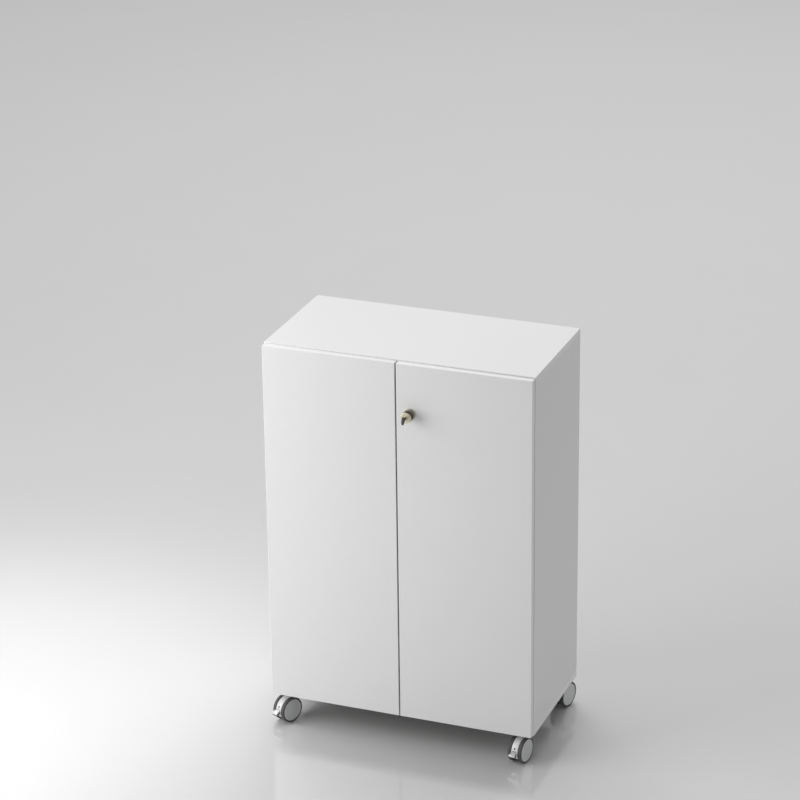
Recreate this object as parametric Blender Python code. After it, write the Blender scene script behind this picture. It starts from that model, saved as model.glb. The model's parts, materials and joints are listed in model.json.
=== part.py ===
"""Mobile two-door file cupboard on four twin-wheel castors.

Metres, +Z up, doors towards -Y, floor at z = 0. The origin lies on the floor under the middle of the
whole object's box, from the key at the front to the rear wheels.
"""

import math

import bmesh
import bpy
from mathutils import Matrix, Vector

# Carcass
WIDTH = 0.800
DEPTH = 0.390
HEIGHT = 1.100
BOARD = 0.019
BACK_BOARD = 0.008
BACK_INSET = 0.010
GROOVE_DEPTH = 0.008
CARCASS_ROUND = 0.0008
SEAT_GAP = 0.0003

# Shelves
SHELF_BOARD = 0.019
SHELF_SETBACK = 0.030
SHELF_PLAY = 0.001
SHELF_PIN_RADIUS = 0.0025
SHELF_PIN_COLLAR = 0.0045
SHELF_PIN_COLLAR_LENGTH = 0.0015
SHELF_PIN_SUNK = 0.008
SHELF_PIN_REACH = 0.011
SHELF_PIN_INSET = 0.045

# Doors
DOOR_BOARD = 0.019
DOOR_GAP = 0.0024
DOOR_SIDE_REVEAL = 0.0015
DOOR_TOP_REVEAL = 0.0032
DOOR_BOTTOM_REVEAL = 0.0034
DOOR_SPLIT = 0.004
DOOR_ROUND = 0.002

# Concealed cup hinges
HINGE_END = 0.100
PIN_EDGE = 0.008
PIN_DEPTH = 0.0105
PIN_RADIUS = 0.00115
PIN_CLEARANCE = 0.0003
KNUCKLE_WALL = 0.0009
NECK_THICKNESS = 0.0024
NECK_HALF_WIDTH = 0.0055
NECK_REACH = 0.014
CUP_EDGE = 0.003
CUP_RADIUS = 0.0172
CUP_WALL = 0.001
CUP_FLOOR = 0.0008
CUP_FLOOR_CLEARANCE = 0.0004
FLANGE_RADIUS = 0.0195
FLANGE_THICKNESS = 0.001
FLANGE_EAR_OFFSET = 0.0095
FLANGE_EAR_HALF_LENGTH = 0.029
FLANGE_EAR_HALF_WIDTH = 0.006
FLANGE_EAR_STEP = 0.0002
FLANGE_EAR_CORNER = 0.0054
ARM_HALF_WIDTH = 0.0075
ARM_THICKNESS = 0.009
ARM_START = 0.009
ARM_LENGTH = 0.054
ARM_ROUND = 0.0015
WING_SETBACK = 0.037
WING_HALF_WIDTH = 0.010
WING_HALF_LENGTH = 0.025
WING_THICKNESS = 0.0034
WING_CORNER = 0.006

# Lock, rods and bolt
LOCK_INSET = 0.040
LOCK_DROP = 0.146
ROSETTE_RADIUS = 0.017
ROSETTE_THICKNESS = 0.004
KNOB_RADIUS = 0.016
KNOB_NECK_RADIUS = 0.0135
KNOB_LENGTH = 0.026
KNOB_WAIST_LENGTH = 0.009
KNOB_CHAMFER = 0.0012
SPINDLE_RADIUS = 0.004
SPINDLE_CLEARANCE = 0.0004
SPINDLE_IN_CASE = 0.0075
PLUG_RADIUS = 0.006
PLUG_LENGTH = 0.020
KEY_THICKNESS = 0.002
KEY_BLADE_HALF_HEIGHT = 0.0035
KEY_BLADE_LENGTH = 0.017
KEY_NECK_LENGTH = 0.010
KEY_BOW_RADIUS = 0.0115
KEY_RING_HOLE = 0.0022
CASE_HALF_WIDTH = 0.020
CASE_HALF_HEIGHT = 0.032
CASE_WALL = 0.005
CASE_ROUND = 0.003
ROD_RADIUS = 0.0035
ROD_OFFSET = 0.013
ROD_CLEARANCE = 0.0004
ROD_TRAVEL = 0.012
ROD_MIDDLE_GAP = 0.006
ROD_CHAMFER = 0.001
GUIDE_WALL = 0.004
GUIDE_HALF_HEIGHT = 0.008
GUIDE_FROM_END = 0.030
STRIKE_LIP = 0.014
STRIKE_THICKNESS = 0.002
STRIKE_CLEARANCE = 0.0012
STRIKE_PASS = 0.002
STRIKE_FOOT = 0.012
STRIKE_SIDE = 0.014
BOLT_INSET = 0.030
BOLT_CASE_HEIGHT = 0.046
BOLT_CASE_DROP = 0.010
BOLT_SPARE = 0.002
BOLT_KNOB_RADIUS = 0.0065
BOLT_KNOB_LENGTH = 0.008

# Castors
CASTOR_SIDE_INSET = 0.041
CASTOR_END_INSET = 0.033
CASTOR_OFFSET = 0.020
FRONT_LEFT_TURN = math.radians(-24)
FRONT_RIGHT_TURN = math.radians(-10)
REAR_RIGHT_TURN = math.radians(166)
REAR_LEFT_TURN = math.radians(194)
WHEEL_RADIUS = 0.039
WHEEL_WIDTH = 0.0112
WHEEL_ROUND = 0.003
WHEEL_DISC_RADIUS = 0.032
WHEEL_DISC_SINK = 0.0014
WHEEL_WALL = 0.005
WHEEL_RECESS = 0.007
WHEEL_BOSS = 0.009
WHEEL_GAP = 0.0006
WHEEL_TOP_CLEARANCE = 0.0015
AXLE_RADIUS = 0.004
AXLE_CLEARANCE = 0.0003
AXLE_IN_WHEEL = 0.0078
AXLE_CHAMFER = 0.0006
HOOD_HALF_WIDTH = 0.010
HOOD_INSET = 0.0015
HOOD_END = math.radians(205)
HOOD_BOSS = 0.010
HOOD_BOSS_START = math.radians(235)
HOOD_BOSS_END = math.radians(315)
NECK_HALF_DEPTH = 0.013
NECK_ABOVE_AXLE = 0.006
HEAD_RADIUS = 0.020
HEAD_THICKNESS = 0.005
BEARING_GAP = 0.0004
BEARING_HEIGHT = 0.0065
BEARING_RADIUS = 0.0235
KING_PIN_RADIUS = 0.0055
KING_PIN_LENGTH = 0.008
PLATE_HALF_SIDE = 0.030
PLATE_THICKNESS = 0.003
PLATE_CORNER = 0.006

# Brake pedals
PEDAL_PIVOT_RADIUS = 0.022
PEDAL_PIVOT_ANGLE = math.radians(158)
PEDAL_SLOPE = math.radians(12)
PEDAL_PRESS = math.radians(15)
PEDAL_PRESS_SPARE = math.radians(3)
PEDAL_BARREL = 0.0035
PEDAL_HUB_HALF_WIDTH = 0.0060
PEDAL_BAR_HALF_WIDTH = 0.0058
PEDAL_BAR_BELOW = 0.002
PEDAL_BAR_ABOVE = 0.0018
PEDAL_SLOT_CLEARANCE = 0.0006
PEDAL_TRUNNION_RADIUS = 0.002
PEDAL_TRUNNION_LENGTH = 0.0026
PEDAL_TREAD_HALF_WIDTH = 0.0095
PEDAL_HOOD_CLEARANCE = 0.0006
PEDAL_TREAD_LENGTH = 0.013
PEDAL_TREAD_THICKNESS = 0.003
PEDAL_LIP = 0.005

# Facets of round pieces
WHEEL_SIDES = 20
TURNED_SIDES = 24
CUP_SIDES = 16
CASTOR_SIDES = 16
SMALL_SIDES = 12
BOW_STEPS = 20
HOOD_STEPS = 13
ROUND_STEPS = 10
BEND_STEPS = 3
BOSS_STEPS = 4
MERGE_DISTANCE = 1e-6
SMOOTH_ANGLE = math.radians(35)

# Heights and planes worked out from the sizes above
CASTOR_X = WIDTH / 2 - CASTOR_SIDE_INSET
CASTOR_Y = DEPTH / 2 - CASTOR_END_INSET
AXLE_Z = WHEEL_RADIUS * math.cos(math.pi / WHEEL_SIDES)
HOOD_RADIUS = WHEEL_RADIUS - HOOD_INSET
HEAD_Z = AXLE_Z + WHEEL_RADIUS + WHEEL_TOP_CLEARANCE
BEARING_Z = HEAD_Z + HEAD_THICKNESS + BEARING_GAP
PLATE_Z = BEARING_Z + BEARING_HEIGHT
BASE_Z = PLATE_Z + PLATE_THICKNESS + SEAT_GAP
FLOOR_Z = BASE_Z + BOARD
CEILING_Z = BASE_Z + HEIGHT - BOARD
CARCASS_FRONT = -DEPTH / 2
SIDE_INNER = WIDTH / 2 - BOARD
BACK_FRONT = DEPTH / 2 - BACK_INSET - BACK_BOARD
DOOR_BACK = CARCASS_FRONT - DOOR_GAP
DOOR_FRONT = DOOR_BACK - DOOR_BOARD
DOOR_LOW = BASE_Z + DOOR_BOTTOM_REVEAL
DOOR_HIGH = BASE_Z + HEIGHT - DOOR_TOP_REVEAL
DOOR_OUTER = WIDTH / 2 - DOOR_SIDE_REVEAL
HINGE_X = DOOR_OUTER - PIN_EDGE
HINGE_Y = DOOR_BACK - PIN_DEPTH
LOCK_X = DOOR_SPLIT / 2 + LOCK_INSET
LOCK_Z = DOOR_HIGH - LOCK_DROP
ROD_Y = DOOR_BACK + ROD_OFFSET
BOLT_X = -DOOR_SPLIT / 2 - BOLT_INSET
KNOB_BACK = ROSETTE_THICKNESS + 2 * SEAT_GAP
KNOB_FACE = KNOB_BACK + KNOB_LENGTH
KEY_REACH = KNOB_FACE + KEY_NECK_LENGTH + 2 * KEY_BOW_RADIUS
REAR_TURN = math.radians(180) - REAR_RIGHT_TURN
WHEEL_OUTER = HOOD_HALF_WIDTH + WHEEL_GAP + WHEEL_WIDTH
REAR_REACH = (
    CASTOR_Y
    + (CASTOR_OFFSET + AXLE_Z) * math.cos(REAR_TURN)
    + (WHEEL_OUTER - WHEEL_ROUND) * math.sin(REAR_TURN)
)
FRAME_SHIFT = (KEY_REACH - DOOR_FRONT - REAR_REACH) / 2

FINISHES = {
    "white_board": ((0.80, 0.80, 0.80), 0.42, 0.0),
    "white_back": ((0.76, 0.76, 0.76), 0.55, 0.0),
    "bright_steel": ((0.62, 0.62, 0.63), 0.30, 1.0),
    "zinc": ((0.52, 0.53, 0.54), 0.40, 1.0),
    "nickel": ((0.60, 0.57, 0.46), 0.28, 1.0),
    "dark_metal": ((0.12, 0.11, 0.12), 0.35, 0.9),
    "grey_plastic": ((0.55, 0.56, 0.57), 0.45, 0.0),
    "dark_tread": ((0.10, 0.10, 0.11), 0.70, 0.0),
}


def clear_scene():
    for obj in list(bpy.data.objects):
        bpy.data.objects.remove(obj, do_unlink=True)


def finish(name):
    """The shared material of a finish, made on first use."""
    material = bpy.data.materials.get(name)
    if material is None:
        colour, roughness, metallic = FINISHES[name]
        material = bpy.data.materials.new(name)
        material.use_nodes = True
        shader = material.node_tree.nodes["Principled BSDF"]
        shader.inputs["Base Color"].default_value = (*colour, 1.0)
        shader.inputs["Roughness"].default_value = roughness
        shader.inputs["Metallic"].default_value = metallic
    return material


def empty(name, location, parent=None, turn=0.0):
    obj = bpy.data.objects.new(name, None)
    bpy.context.scene.collection.objects.link(obj)
    obj.parent = parent
    obj.location = location
    obj.rotation_euler = (0.0, 0.0, turn)
    return obj


def solid(name, bm, material, parent, location=(0.0, 0.0, 0.0), rotation=(0.0, 0.0, 0.0)):
    """One named object from a bmesh, with its normals out and its round faces smooth."""
    bmesh.ops.recalc_face_normals(bm, faces=bm.faces)
    mesh = bpy.data.meshes.new(name)
    bm.to_mesh(mesh)
    bm.free()
    mesh.shade_smooth()
    mesh.set_sharp_from_angle(angle=SMOOTH_ANGLE)
    obj = bpy.data.objects.new(name, mesh)
    bpy.context.scene.collection.objects.link(obj)
    obj.parent = parent
    obj.location = location
    obj.rotation_euler = rotation
    if material:
        mesh.materials.append(finish(material))
    return obj


def combine(target, bm, operation):
    """Cuts the bmesh from the target, or joins it on, in the target's own frame."""
    helper = solid(f"{target.name}_{operation.lower()}", bm, None, target)
    helper.hide_render = True
    helper.display_type = "WIRE"
    modifier = target.modifiers.new(operation.title(), "BOOLEAN")
    modifier.operation = operation
    modifier.solver = "EXACT"
    modifier.object = helper


def cut(target, bm):
    combine(target, bm, "DIFFERENCE")


def join(target, bm):
    combine(target, bm, "UNION")


def box(low, high, rounding=0.0, segments=1):
    """A box between two corners, with all its edges rounded."""
    bm = bmesh.new()
    bmesh.ops.create_cube(bm, size=1.0)
    low, high = Vector(low), Vector(high)
    bmesh.ops.scale(bm, vec=high - low, verts=bm.verts)
    bmesh.ops.translate(bm, vec=(low + high) / 2, verts=bm.verts)
    if rounding:
        bmesh.ops.bevel(
            bm, geom=bm.edges[:], offset=rounding, segments=segments, profile=0.5, affect="EDGES"
        )
    return bm


def arc(centre, radius, start, end, steps):
    """Points along an arc in a plane, angles in radians, both ends included."""
    angles = [start + (end - start) * i / steps for i in range(steps + 1)]
    return [(centre[0] + radius * math.cos(a), centre[1] + radius * math.sin(a)) for a in angles]


def rounded_rectangle(half_width, half_height, radius, steps=BEND_STEPS):
    points = []
    for i, (sx, sy) in enumerate(((1, 1), (-1, 1), (-1, -1), (1, -1))):
        centre = (sx * (half_width - radius), sy * (half_height - radius))
        start = i * math.pi / 2
        points += arc(centre, radius, start, start + math.pi / 2, steps)
    return points


def prism(outline, low, high, axis):
    """An outline pushed along an axis: (x, y) along Z, (y, z) along X or (x, z) along Y."""
    place = {
        "X": lambda p: (low, p[0], p[1]),
        "Y": lambda p: (p[0], low, p[1]),
        "Z": lambda p: (p[0], p[1], low),
    }[axis]
    along = {"X": Vector((1, 0, 0)), "Y": Vector((0, 1, 0)), "Z": Vector((0, 0, 1))}[axis]
    bm = bmesh.new()
    face = bm.faces.new([bm.verts.new(place(p)) for p in outline])
    pushed = bmesh.ops.extrude_face_region(bm, geom=[face])
    verts = [v for v in pushed["geom"] if isinstance(v, bmesh.types.BMVert)]
    bmesh.ops.translate(bm, vec=along * (high - low), verts=verts)
    return bm


def turned(profile, axis, sides=TURNED_SIDES, closed=False):
    """A profile of (radius, height) turned about an axis. A closed profile makes a ring.

    Heights run along the axis's direction, which may be +X, -Y or +Z, and facets face straight
    along the other two axes.
    """
    bm = bmesh.new()
    verts = [bm.verts.new((r, 0.0, h)) for r, h in profile]
    edges = [bm.edges.new(pair) for pair in zip(verts, verts[1:])]
    if closed:
        edges.append(bm.edges.new((verts[-1], verts[0])))
    bmesh.ops.rotate(
        bm, verts=bm.verts, cent=(0, 0, 0), matrix=Matrix.Rotation(math.pi / sides, 3, "Z")
    )
    bmesh.ops.spin(
        bm,
        geom=verts + edges,
        cent=(0, 0, 0),
        axis=(0, 0, 1),
        angle=2 * math.pi,
        steps=sides,
        use_merge=True,
    )
    bmesh.ops.remove_doubles(bm, verts=bm.verts, dist=MERGE_DISTANCE)
    turn = {
        "+X": Matrix.Rotation(math.pi / 2, 3, "Y"),
        "-Y": Matrix.Rotation(math.pi / 2, 3, "X"),
        "+Z": Matrix.Identity(3),
    }[axis]
    bmesh.ops.rotate(bm, verts=bm.verts, cent=(0, 0, 0), matrix=turn)
    return bm


def moved(bm, vec):
    bmesh.ops.translate(bm, vec=vec, verts=bm.verts)
    return bm


def rod(radius, low, high, axis, sides=SMALL_SIDES, chamfer=0.0):
    profile = [(0.0, low), (radius - chamfer, low), (radius, low + chamfer)]
    profile += [(radius, high - chamfer), (radius - chamfer, high), (0.0, high)]
    if not chamfer:
        profile = [(0.0, low), (radius, low), (radius, high), (0.0, high)]
    return turned(profile, axis, sides)


def bore(radius, low, high, axis, sides=SMALL_SIDES):
    """A cutter whose flats lie at the radius, so a round piece of that radius turns in it."""
    return rod(radius / math.cos(math.pi / sides), low, high, axis, sides)


def back_groove(half_width, low, high):
    return box(
        (-half_width, BACK_FRONT - SEAT_GAP, low),
        (half_width, BACK_FRONT + BACK_BOARD + SEAT_GAP, high),
    )


def carcass(cabinet):
    """Five boards: the top and the base run over the ends of the sides, the back sits in a groove."""
    half = WIDTH / 2
    groove_half = SIDE_INNER + GROOVE_DEPTH
    top_z = BASE_Z + HEIGHT
    low, high = (-half, CARCASS_FRONT), (half, DEPTH / 2)
    base = box((*low, BASE_Z), (*high, FLOOR_Z), CARCASS_ROUND)
    base = solid("base_panel", base, "white_board", cabinet)
    cut(base, back_groove(groove_half, FLOOR_Z - GROOVE_DEPTH, FLOOR_Z + BOARD))
    top = box((*low, CEILING_Z), (*high, top_z), CARCASS_ROUND)
    top = solid("top_panel", top, "white_board", cabinet)
    cut(top, back_groove(groove_half, CEILING_Z - BOARD, CEILING_Z + GROOVE_DEPTH))
    for name, side in (("left_side", -1), ("right_side", 1)):
        xs = sorted((side * SIDE_INNER, side * half))
        panel = box(
            (xs[0], CARCASS_FRONT, FLOOR_Z + SEAT_GAP),
            (xs[1], DEPTH / 2, CEILING_Z - SEAT_GAP),
            CARCASS_ROUND,
        )
        panel = solid(name, panel, "white_board", cabinet)
        cut(panel, back_groove(groove_half, BASE_Z, top_z))
        for y, z in shelf_pin_places():
            hole = bore(SHELF_PIN_RADIUS + SEAT_GAP, -SHELF_PIN_SUNK - SEAT_GAP, BOARD, "+X")
            mirror(hole, side)
            cut(panel, moved(hole, (side * SIDE_INNER, y, z)))
    back_half = groove_half - SEAT_GAP
    back = box(
        (-back_half, BACK_FRONT, FLOOR_Z - GROOVE_DEPTH + SEAT_GAP),
        (back_half, BACK_FRONT + BACK_BOARD, CEILING_Z + GROOVE_DEPTH - SEAT_GAP),
    )
    solid("back_panel", back, "white_back", cabinet)


def mirror(bm, side):
    """Turns a shape that reaches into a right-hand board, towards -X, for its own side."""
    bmesh.ops.scale(bm, vec=(-side, 1.0, 1.0), verts=bm.verts)
    return bm


def shelf_heights():
    """Undersides of the lower and the upper shelf, which part the inside into three equal bays."""
    bay = (CEILING_Z - FLOOR_Z - 2 * SHELF_BOARD) / 3
    return FLOOR_Z + bay, FLOOR_Z + 2 * bay + SHELF_BOARD


def shelf_pin_places():
    front = CARCASS_FRONT + SHELF_SETBACK + SHELF_PIN_INSET
    rear = BACK_FRONT - SHELF_PIN_INSET
    z = shelf_heights()[1] - SEAT_GAP - SHELF_PIN_RADIUS
    return (front, z), (rear, z)


def shelves(cabinet):
    """A fixed lower shelf between the sides and an adjustable upper shelf on four pins."""
    lower, upper = shelf_heights()
    front = CARCASS_FRONT + SHELF_SETBACK
    fixed_half = SIDE_INNER - SEAT_GAP
    fixed = box(
        (-fixed_half, front, lower),
        (fixed_half, BACK_FRONT - SEAT_GAP, lower + SHELF_BOARD),
        CARCASS_ROUND,
    )
    solid("fixed_shelf", fixed, "white_board", cabinet)
    loose_half = SIDE_INNER - SHELF_PLAY
    loose = box(
        (-loose_half, front, upper),
        (loose_half, BACK_FRONT - SHELF_PLAY, upper + SHELF_BOARD),
        CARCASS_ROUND,
    )
    solid("adjustable_shelf", loose, "white_board", cabinet)
    collar_end = SEAT_GAP + SHELF_PIN_COLLAR_LENGTH
    profile = [
        (0.0, -SHELF_PIN_SUNK),
        (SHELF_PIN_RADIUS, -SHELF_PIN_SUNK),
        (SHELF_PIN_RADIUS, SEAT_GAP),
        (SHELF_PIN_COLLAR, SEAT_GAP),
        (SHELF_PIN_COLLAR, collar_end),
        (SHELF_PIN_RADIUS, collar_end),
        (SHELF_PIN_RADIUS, SHELF_PIN_REACH),
        (0.0, SHELF_PIN_REACH),
    ]
    for side_name, side in (("left", -1), ("right", 1)):
        for place_name, (y, z) in zip(("front", "rear"), shelf_pin_places()):
            name = f"{side_name}_{place_name}_shelf_pin"
            pin = mirror(turned(profile, "+X", SMALL_SIDES), side)
            pin = solid(name, pin, "zinc", cabinet, (side * SIDE_INNER, y, z))
            # The collar ends level with the pin's top, so that the shelf lies on the pin.
            over = (SHELF_PIN_REACH, SHELF_PIN_COLLAR, SHELF_PIN_COLLAR)
            cut(pin, box((-over[0], -over[1], SHELF_PIN_RADIUS), over))


def hinge_heights():
    low, high = DOOR_LOW + HINGE_END, DOOR_HIGH - HINGE_END
    return (("upper", high), ("middle", (low + high) / 2), ("lower", low))


def cup_offset():
    """From the pin to the middle of the cup, along the door."""
    return CUP_EDGE + CUP_RADIUS + SEAT_GAP - PIN_EDGE


def cup_floor_depth():
    """From the door's back face to the inner floor of the cup."""
    knuckle = PIN_RADIUS + PIN_CLEARANCE + KNUCKLE_WALL
    return PIN_DEPTH + knuckle + CUP_FLOOR_CLEARANCE


def cup_depth():
    return cup_floor_depth() + CUP_FLOOR


def door(name, side, cabinet):
    """A plain door leaf on its hinge axis, drilled for three hinge cups. Side -1 is the left door."""
    axis = empty(f"{name}_axis", (side * HINGE_X, HINGE_Y, 0.0), cabinet)
    outer = side * PIN_EDGE
    inner = side * (DOOR_SPLIT / 2 - HINGE_X)
    xs = sorted((outer, inner))
    leaf = box(
        (xs[0], -(DOOR_BOARD - PIN_DEPTH), DOOR_LOW), (xs[1], PIN_DEPTH, DOOR_HIGH), DOOR_ROUND, 2
    )
    leaf = solid(name, leaf, "white_board", axis)
    inward = -side
    for _, z in hinge_heights():
        hole = bore(CUP_RADIUS + SEAT_GAP, -DOOR_BOARD, cup_depth() + SEAT_GAP, "-Y", CUP_SIDES)
        cut(leaf, moved(hole, (inward * cup_offset(), PIN_DEPTH, z)))
    return axis, leaf


def hinge_cup(name, axis, inward, z):
    """The cup in the door with its flange, screw ears and the hinge pin across it."""
    middle = inward * cup_offset()
    top = SEAT_GAP + FLANGE_THICKNESS
    barrel_top = SEAT_GAP + FLANGE_THICKNESS / 2
    profile = [
        (0.0, cup_depth()),
        (CUP_RADIUS, cup_depth()),
        (CUP_RADIUS, -barrel_top),
        (0.0, -barrel_top),
    ]
    body = moved(turned(profile, "-Y", CUP_SIDES), (middle, PIN_DEPTH, 0.0))
    cup = solid(name, body, "bright_steel", axis, (0.0, 0.0, z))
    # The flange stops short of the door's edge, so that the arm passes it when the door is open.
    chord = math.pi - math.acos((CUP_RADIUS - CUP_WALL / 4) / FLANGE_RADIUS)
    flange = arc((0.0, 0.0), FLANGE_RADIUS, -chord, chord, CUP_SIDES)
    flange = [(middle + inward * x, y) for x, y in flange]
    join(cup, prism(flange, PIN_DEPTH + SEAT_GAP, PIN_DEPTH + top, "Y"))
    ears = rounded_rectangle(FLANGE_EAR_HALF_WIDTH, FLANGE_EAR_HALF_LENGTH, FLANGE_EAR_CORNER)
    ear_x = middle + inward * FLANGE_EAR_OFFSET
    ear_low = PIN_DEPTH + SEAT_GAP + FLANGE_EAR_STEP
    ear_high = PIN_DEPTH + top + FLANGE_EAR_STEP
    join(cup, moved(prism(ears, ear_low, ear_high, "Y"), (ear_x, 0.0, 0.0)))
    mouth = rod(CUP_RADIUS - CUP_WALL, -2 * top, cup_floor_depth(), "-Y", CUP_SIDES)
    cut(cup, moved(mouth, (middle, PIN_DEPTH, 0.0)))
    wall_middle = CUP_RADIUS - CUP_WALL / 2
    pin_half = math.sqrt(wall_middle**2 - (cup_offset() + PIN_RADIUS) ** 2)
    join(cup, rod(PIN_RADIUS, -pin_half, pin_half, "+Z"))


def hinge_arm(name, cabinet, side, z):
    """The fixed arm: a knuckle on the pin, a bent neck out of the cup, a channel and a wing plate."""
    inward = -side
    knuckle = PIN_RADIUS + PIN_CLEARANCE + KNUCKLE_WALL
    half = NECK_THICKNESS / 2
    leave = math.asin(half / knuckle)
    front = PIN_DEPTH + DOOR_GAP
    arm_low = front + ARM_START
    arm_high = arm_low + ARM_LENGTH
    outline = arc((0.0, 0.0), knuckle, leave, 2 * math.pi - leave, ROUND_STEPS)
    outline += arc((NECK_REACH, 0.0), half, -math.pi / 2, 0.0, BEND_STEPS)
    outline += [
        (NECK_REACH + half, arm_low + half),
        (NECK_REACH - half, arm_low + half),
        (NECK_REACH - half, half),
    ]
    outline = [(inward * x, y) for x, y in outline]
    neck = prism(outline, -NECK_HALF_WIDTH, NECK_HALF_WIDTH, "Z")
    arm = solid(name, neck, "bright_steel", cabinet, (side * HINGE_X, HINGE_Y, z))
    cut(arm, bore(PIN_RADIUS + PIN_CLEARANCE, -2 * NECK_HALF_WIDTH, 2 * NECK_HALF_WIDTH, "+Z"))
    board = HINGE_X - SIDE_INNER + SEAT_GAP
    xs = sorted((inward * (board + WING_THICKNESS / 2), inward * (board + WING_THICKNESS + ARM_THICKNESS)))
    channel = box(
        (xs[0], arm_low, -ARM_HALF_WIDTH), (xs[1], arm_high, ARM_HALF_WIDTH), ARM_ROUND
    )
    join(arm, channel)
    wing_middle = front + WING_SETBACK
    wing = rounded_rectangle(WING_HALF_WIDTH, WING_HALF_LENGTH, WING_CORNER)
    wing = [(wing_middle + y, z) for y, z in wing]
    xs = sorted((inward * board, inward * (board + WING_THICKNESS)))
    join(arm, prism(wing, xs[0], xs[1], "X"))


def doors(cabinet):
    axes = {}
    for name, side in (("left", -1), ("right", 1)):
        axis, leaf = door(f"{name}_door", side, cabinet)
        for place, z in hinge_heights():
            hinge_cup(f"{name}_{place}_hinge_cup", axis, -side, z)
            hinge_arm(f"{name}_{place}_hinge_arm", cabinet, side, z)
        axes[name] = (axis, leaf)
    return axes


def lock(axis, leaf):
    """The keyed knob on the right door and the case behind it."""
    offset = Vector((LOCK_X - HINGE_X, -(DOOR_BOARD - PIN_DEPTH), LOCK_Z))
    centre = empty("lock_axis", offset, axis)
    spindle_hole = SPINDLE_RADIUS + SPINDLE_CLEARANCE
    cut(leaf, moved(bore(spindle_hole, -2 * DOOR_BOARD, DOOR_BOARD, "-Y"), offset))
    rosette = [
        (spindle_hole, SEAT_GAP),
        (ROSETTE_RADIUS, SEAT_GAP),
        (ROSETTE_RADIUS, ROSETTE_THICKNESS - KNOB_CHAMFER),
        (ROSETTE_RADIUS - KNOB_CHAMFER, ROSETTE_THICKNESS),
        (spindle_hole, ROSETTE_THICKNESS),
    ]
    solid("lock_rosette", turned(rosette, "-Y", closed=True), "nickel", centre)
    knob = [
        (0.0, -DOOR_BOARD - SPINDLE_IN_CASE),
        (SPINDLE_RADIUS, -DOOR_BOARD - SPINDLE_IN_CASE),
        (SPINDLE_RADIUS, KNOB_BACK),
        (KNOB_NECK_RADIUS, KNOB_BACK),
        (KNOB_RADIUS, KNOB_BACK + KNOB_WAIST_LENGTH),
        (KNOB_RADIUS, KNOB_FACE - KNOB_CHAMFER),
        (KNOB_RADIUS - KNOB_CHAMFER, KNOB_FACE),
        (PLUG_RADIUS + SEAT_GAP, KNOB_FACE),
        (PLUG_RADIUS + SEAT_GAP, KNOB_FACE - PLUG_LENGTH - SEAT_GAP),
        (0.0, KNOB_FACE - PLUG_LENGTH - SEAT_GAP),
    ]
    solid("lock_knob", turned(knob, "-Y"), "nickel", centre)
    plug = rod(PLUG_RADIUS - SEAT_GAP / 2, KNOB_FACE - PLUG_LENGTH, KNOB_FACE, "-Y", TURNED_SIDES)
    plug = solid("lock_plug", plug, "nickel", centre)
    slot_half = KEY_THICKNESS / 2 + SEAT_GAP
    slot_high = KEY_BLADE_HALF_HEIGHT + SEAT_GAP
    slot_end = KNOB_FACE - KEY_BLADE_LENGTH - SEAT_GAP
    cut(
        plug,
        box((-slot_half, -2 * KNOB_FACE, -slot_high), (slot_half, -slot_end, slot_high)),
    )
    key(centre)
    lock_case(axis, offset)


def key(centre):
    """A flat key whose bow stands upright in front of the knob."""
    half = KEY_BLADE_HALF_HEIGHT
    bow = KNOB_FACE + KEY_NECK_LENGTH + KEY_BOW_RADIUS
    shoulder = KNOB_FACE + SEAT_GAP
    blade_end = KNOB_FACE - KEY_BLADE_LENGTH
    leave = math.asin(half / KEY_BOW_RADIUS)
    outline = [(-blade_end, half), (-blade_end, -half), (-shoulder, -half)]
    outline += arc((-bow, 0.0), KEY_BOW_RADIUS, -leave, leave - 2 * math.pi, BOW_STEPS)
    outline += [(-shoulder, half)]
    blank = prism(outline, -KEY_THICKNESS / 2, KEY_THICKNESS / 2, "X")
    blank = solid("lock_key", blank, "dark_metal", centre)
    ring = bow + KEY_BOW_RADIUS - 3 * KEY_RING_HOLE
    hole = rod(KEY_RING_HOLE, -KEY_THICKNESS, KEY_THICKNESS, "+X")
    cut(blank, moved(hole, (0.0, -ring, 0.0)))


def lock_case(axis, offset):
    """The closed case on the door's back that turns the knob's travel into the rods' travel."""
    back = PIN_DEPTH
    depth = ROD_OFFSET + ROD_RADIUS + ROD_CLEARANCE + CASE_WALL
    case = box(
        (offset.x - CASE_HALF_WIDTH, back + SEAT_GAP, LOCK_Z - CASE_HALF_HEIGHT),
        (offset.x + CASE_HALF_WIDTH, back + depth, LOCK_Z + CASE_HALF_HEIGHT),
        CASE_ROUND,
    )
    case = solid("lock_case", case, "zinc", axis)
    spindle = bore(SPINDLE_RADIUS + SPINDLE_CLEARANCE, -SPINDLE_IN_CASE - SEAT_GAP, DOOR_BOARD, "-Y")
    cut(case, moved(spindle, (offset.x, back, LOCK_Z)))
    channel = bore(ROD_RADIUS + ROD_CLEARANCE, -2 * CASE_HALF_HEIGHT, 2 * CASE_HALF_HEIGHT, "+Z")
    cut(case, moved(channel, (offset.x, back + ROD_OFFSET, LOCK_Z)))


def lip_edges():
    """The lower edge of the upper strike's lip and the upper edge of the lower one's."""
    reach = SEAT_GAP + STRIKE_LIP
    return CEILING_Z - reach, FLOOR_Z + reach


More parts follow.
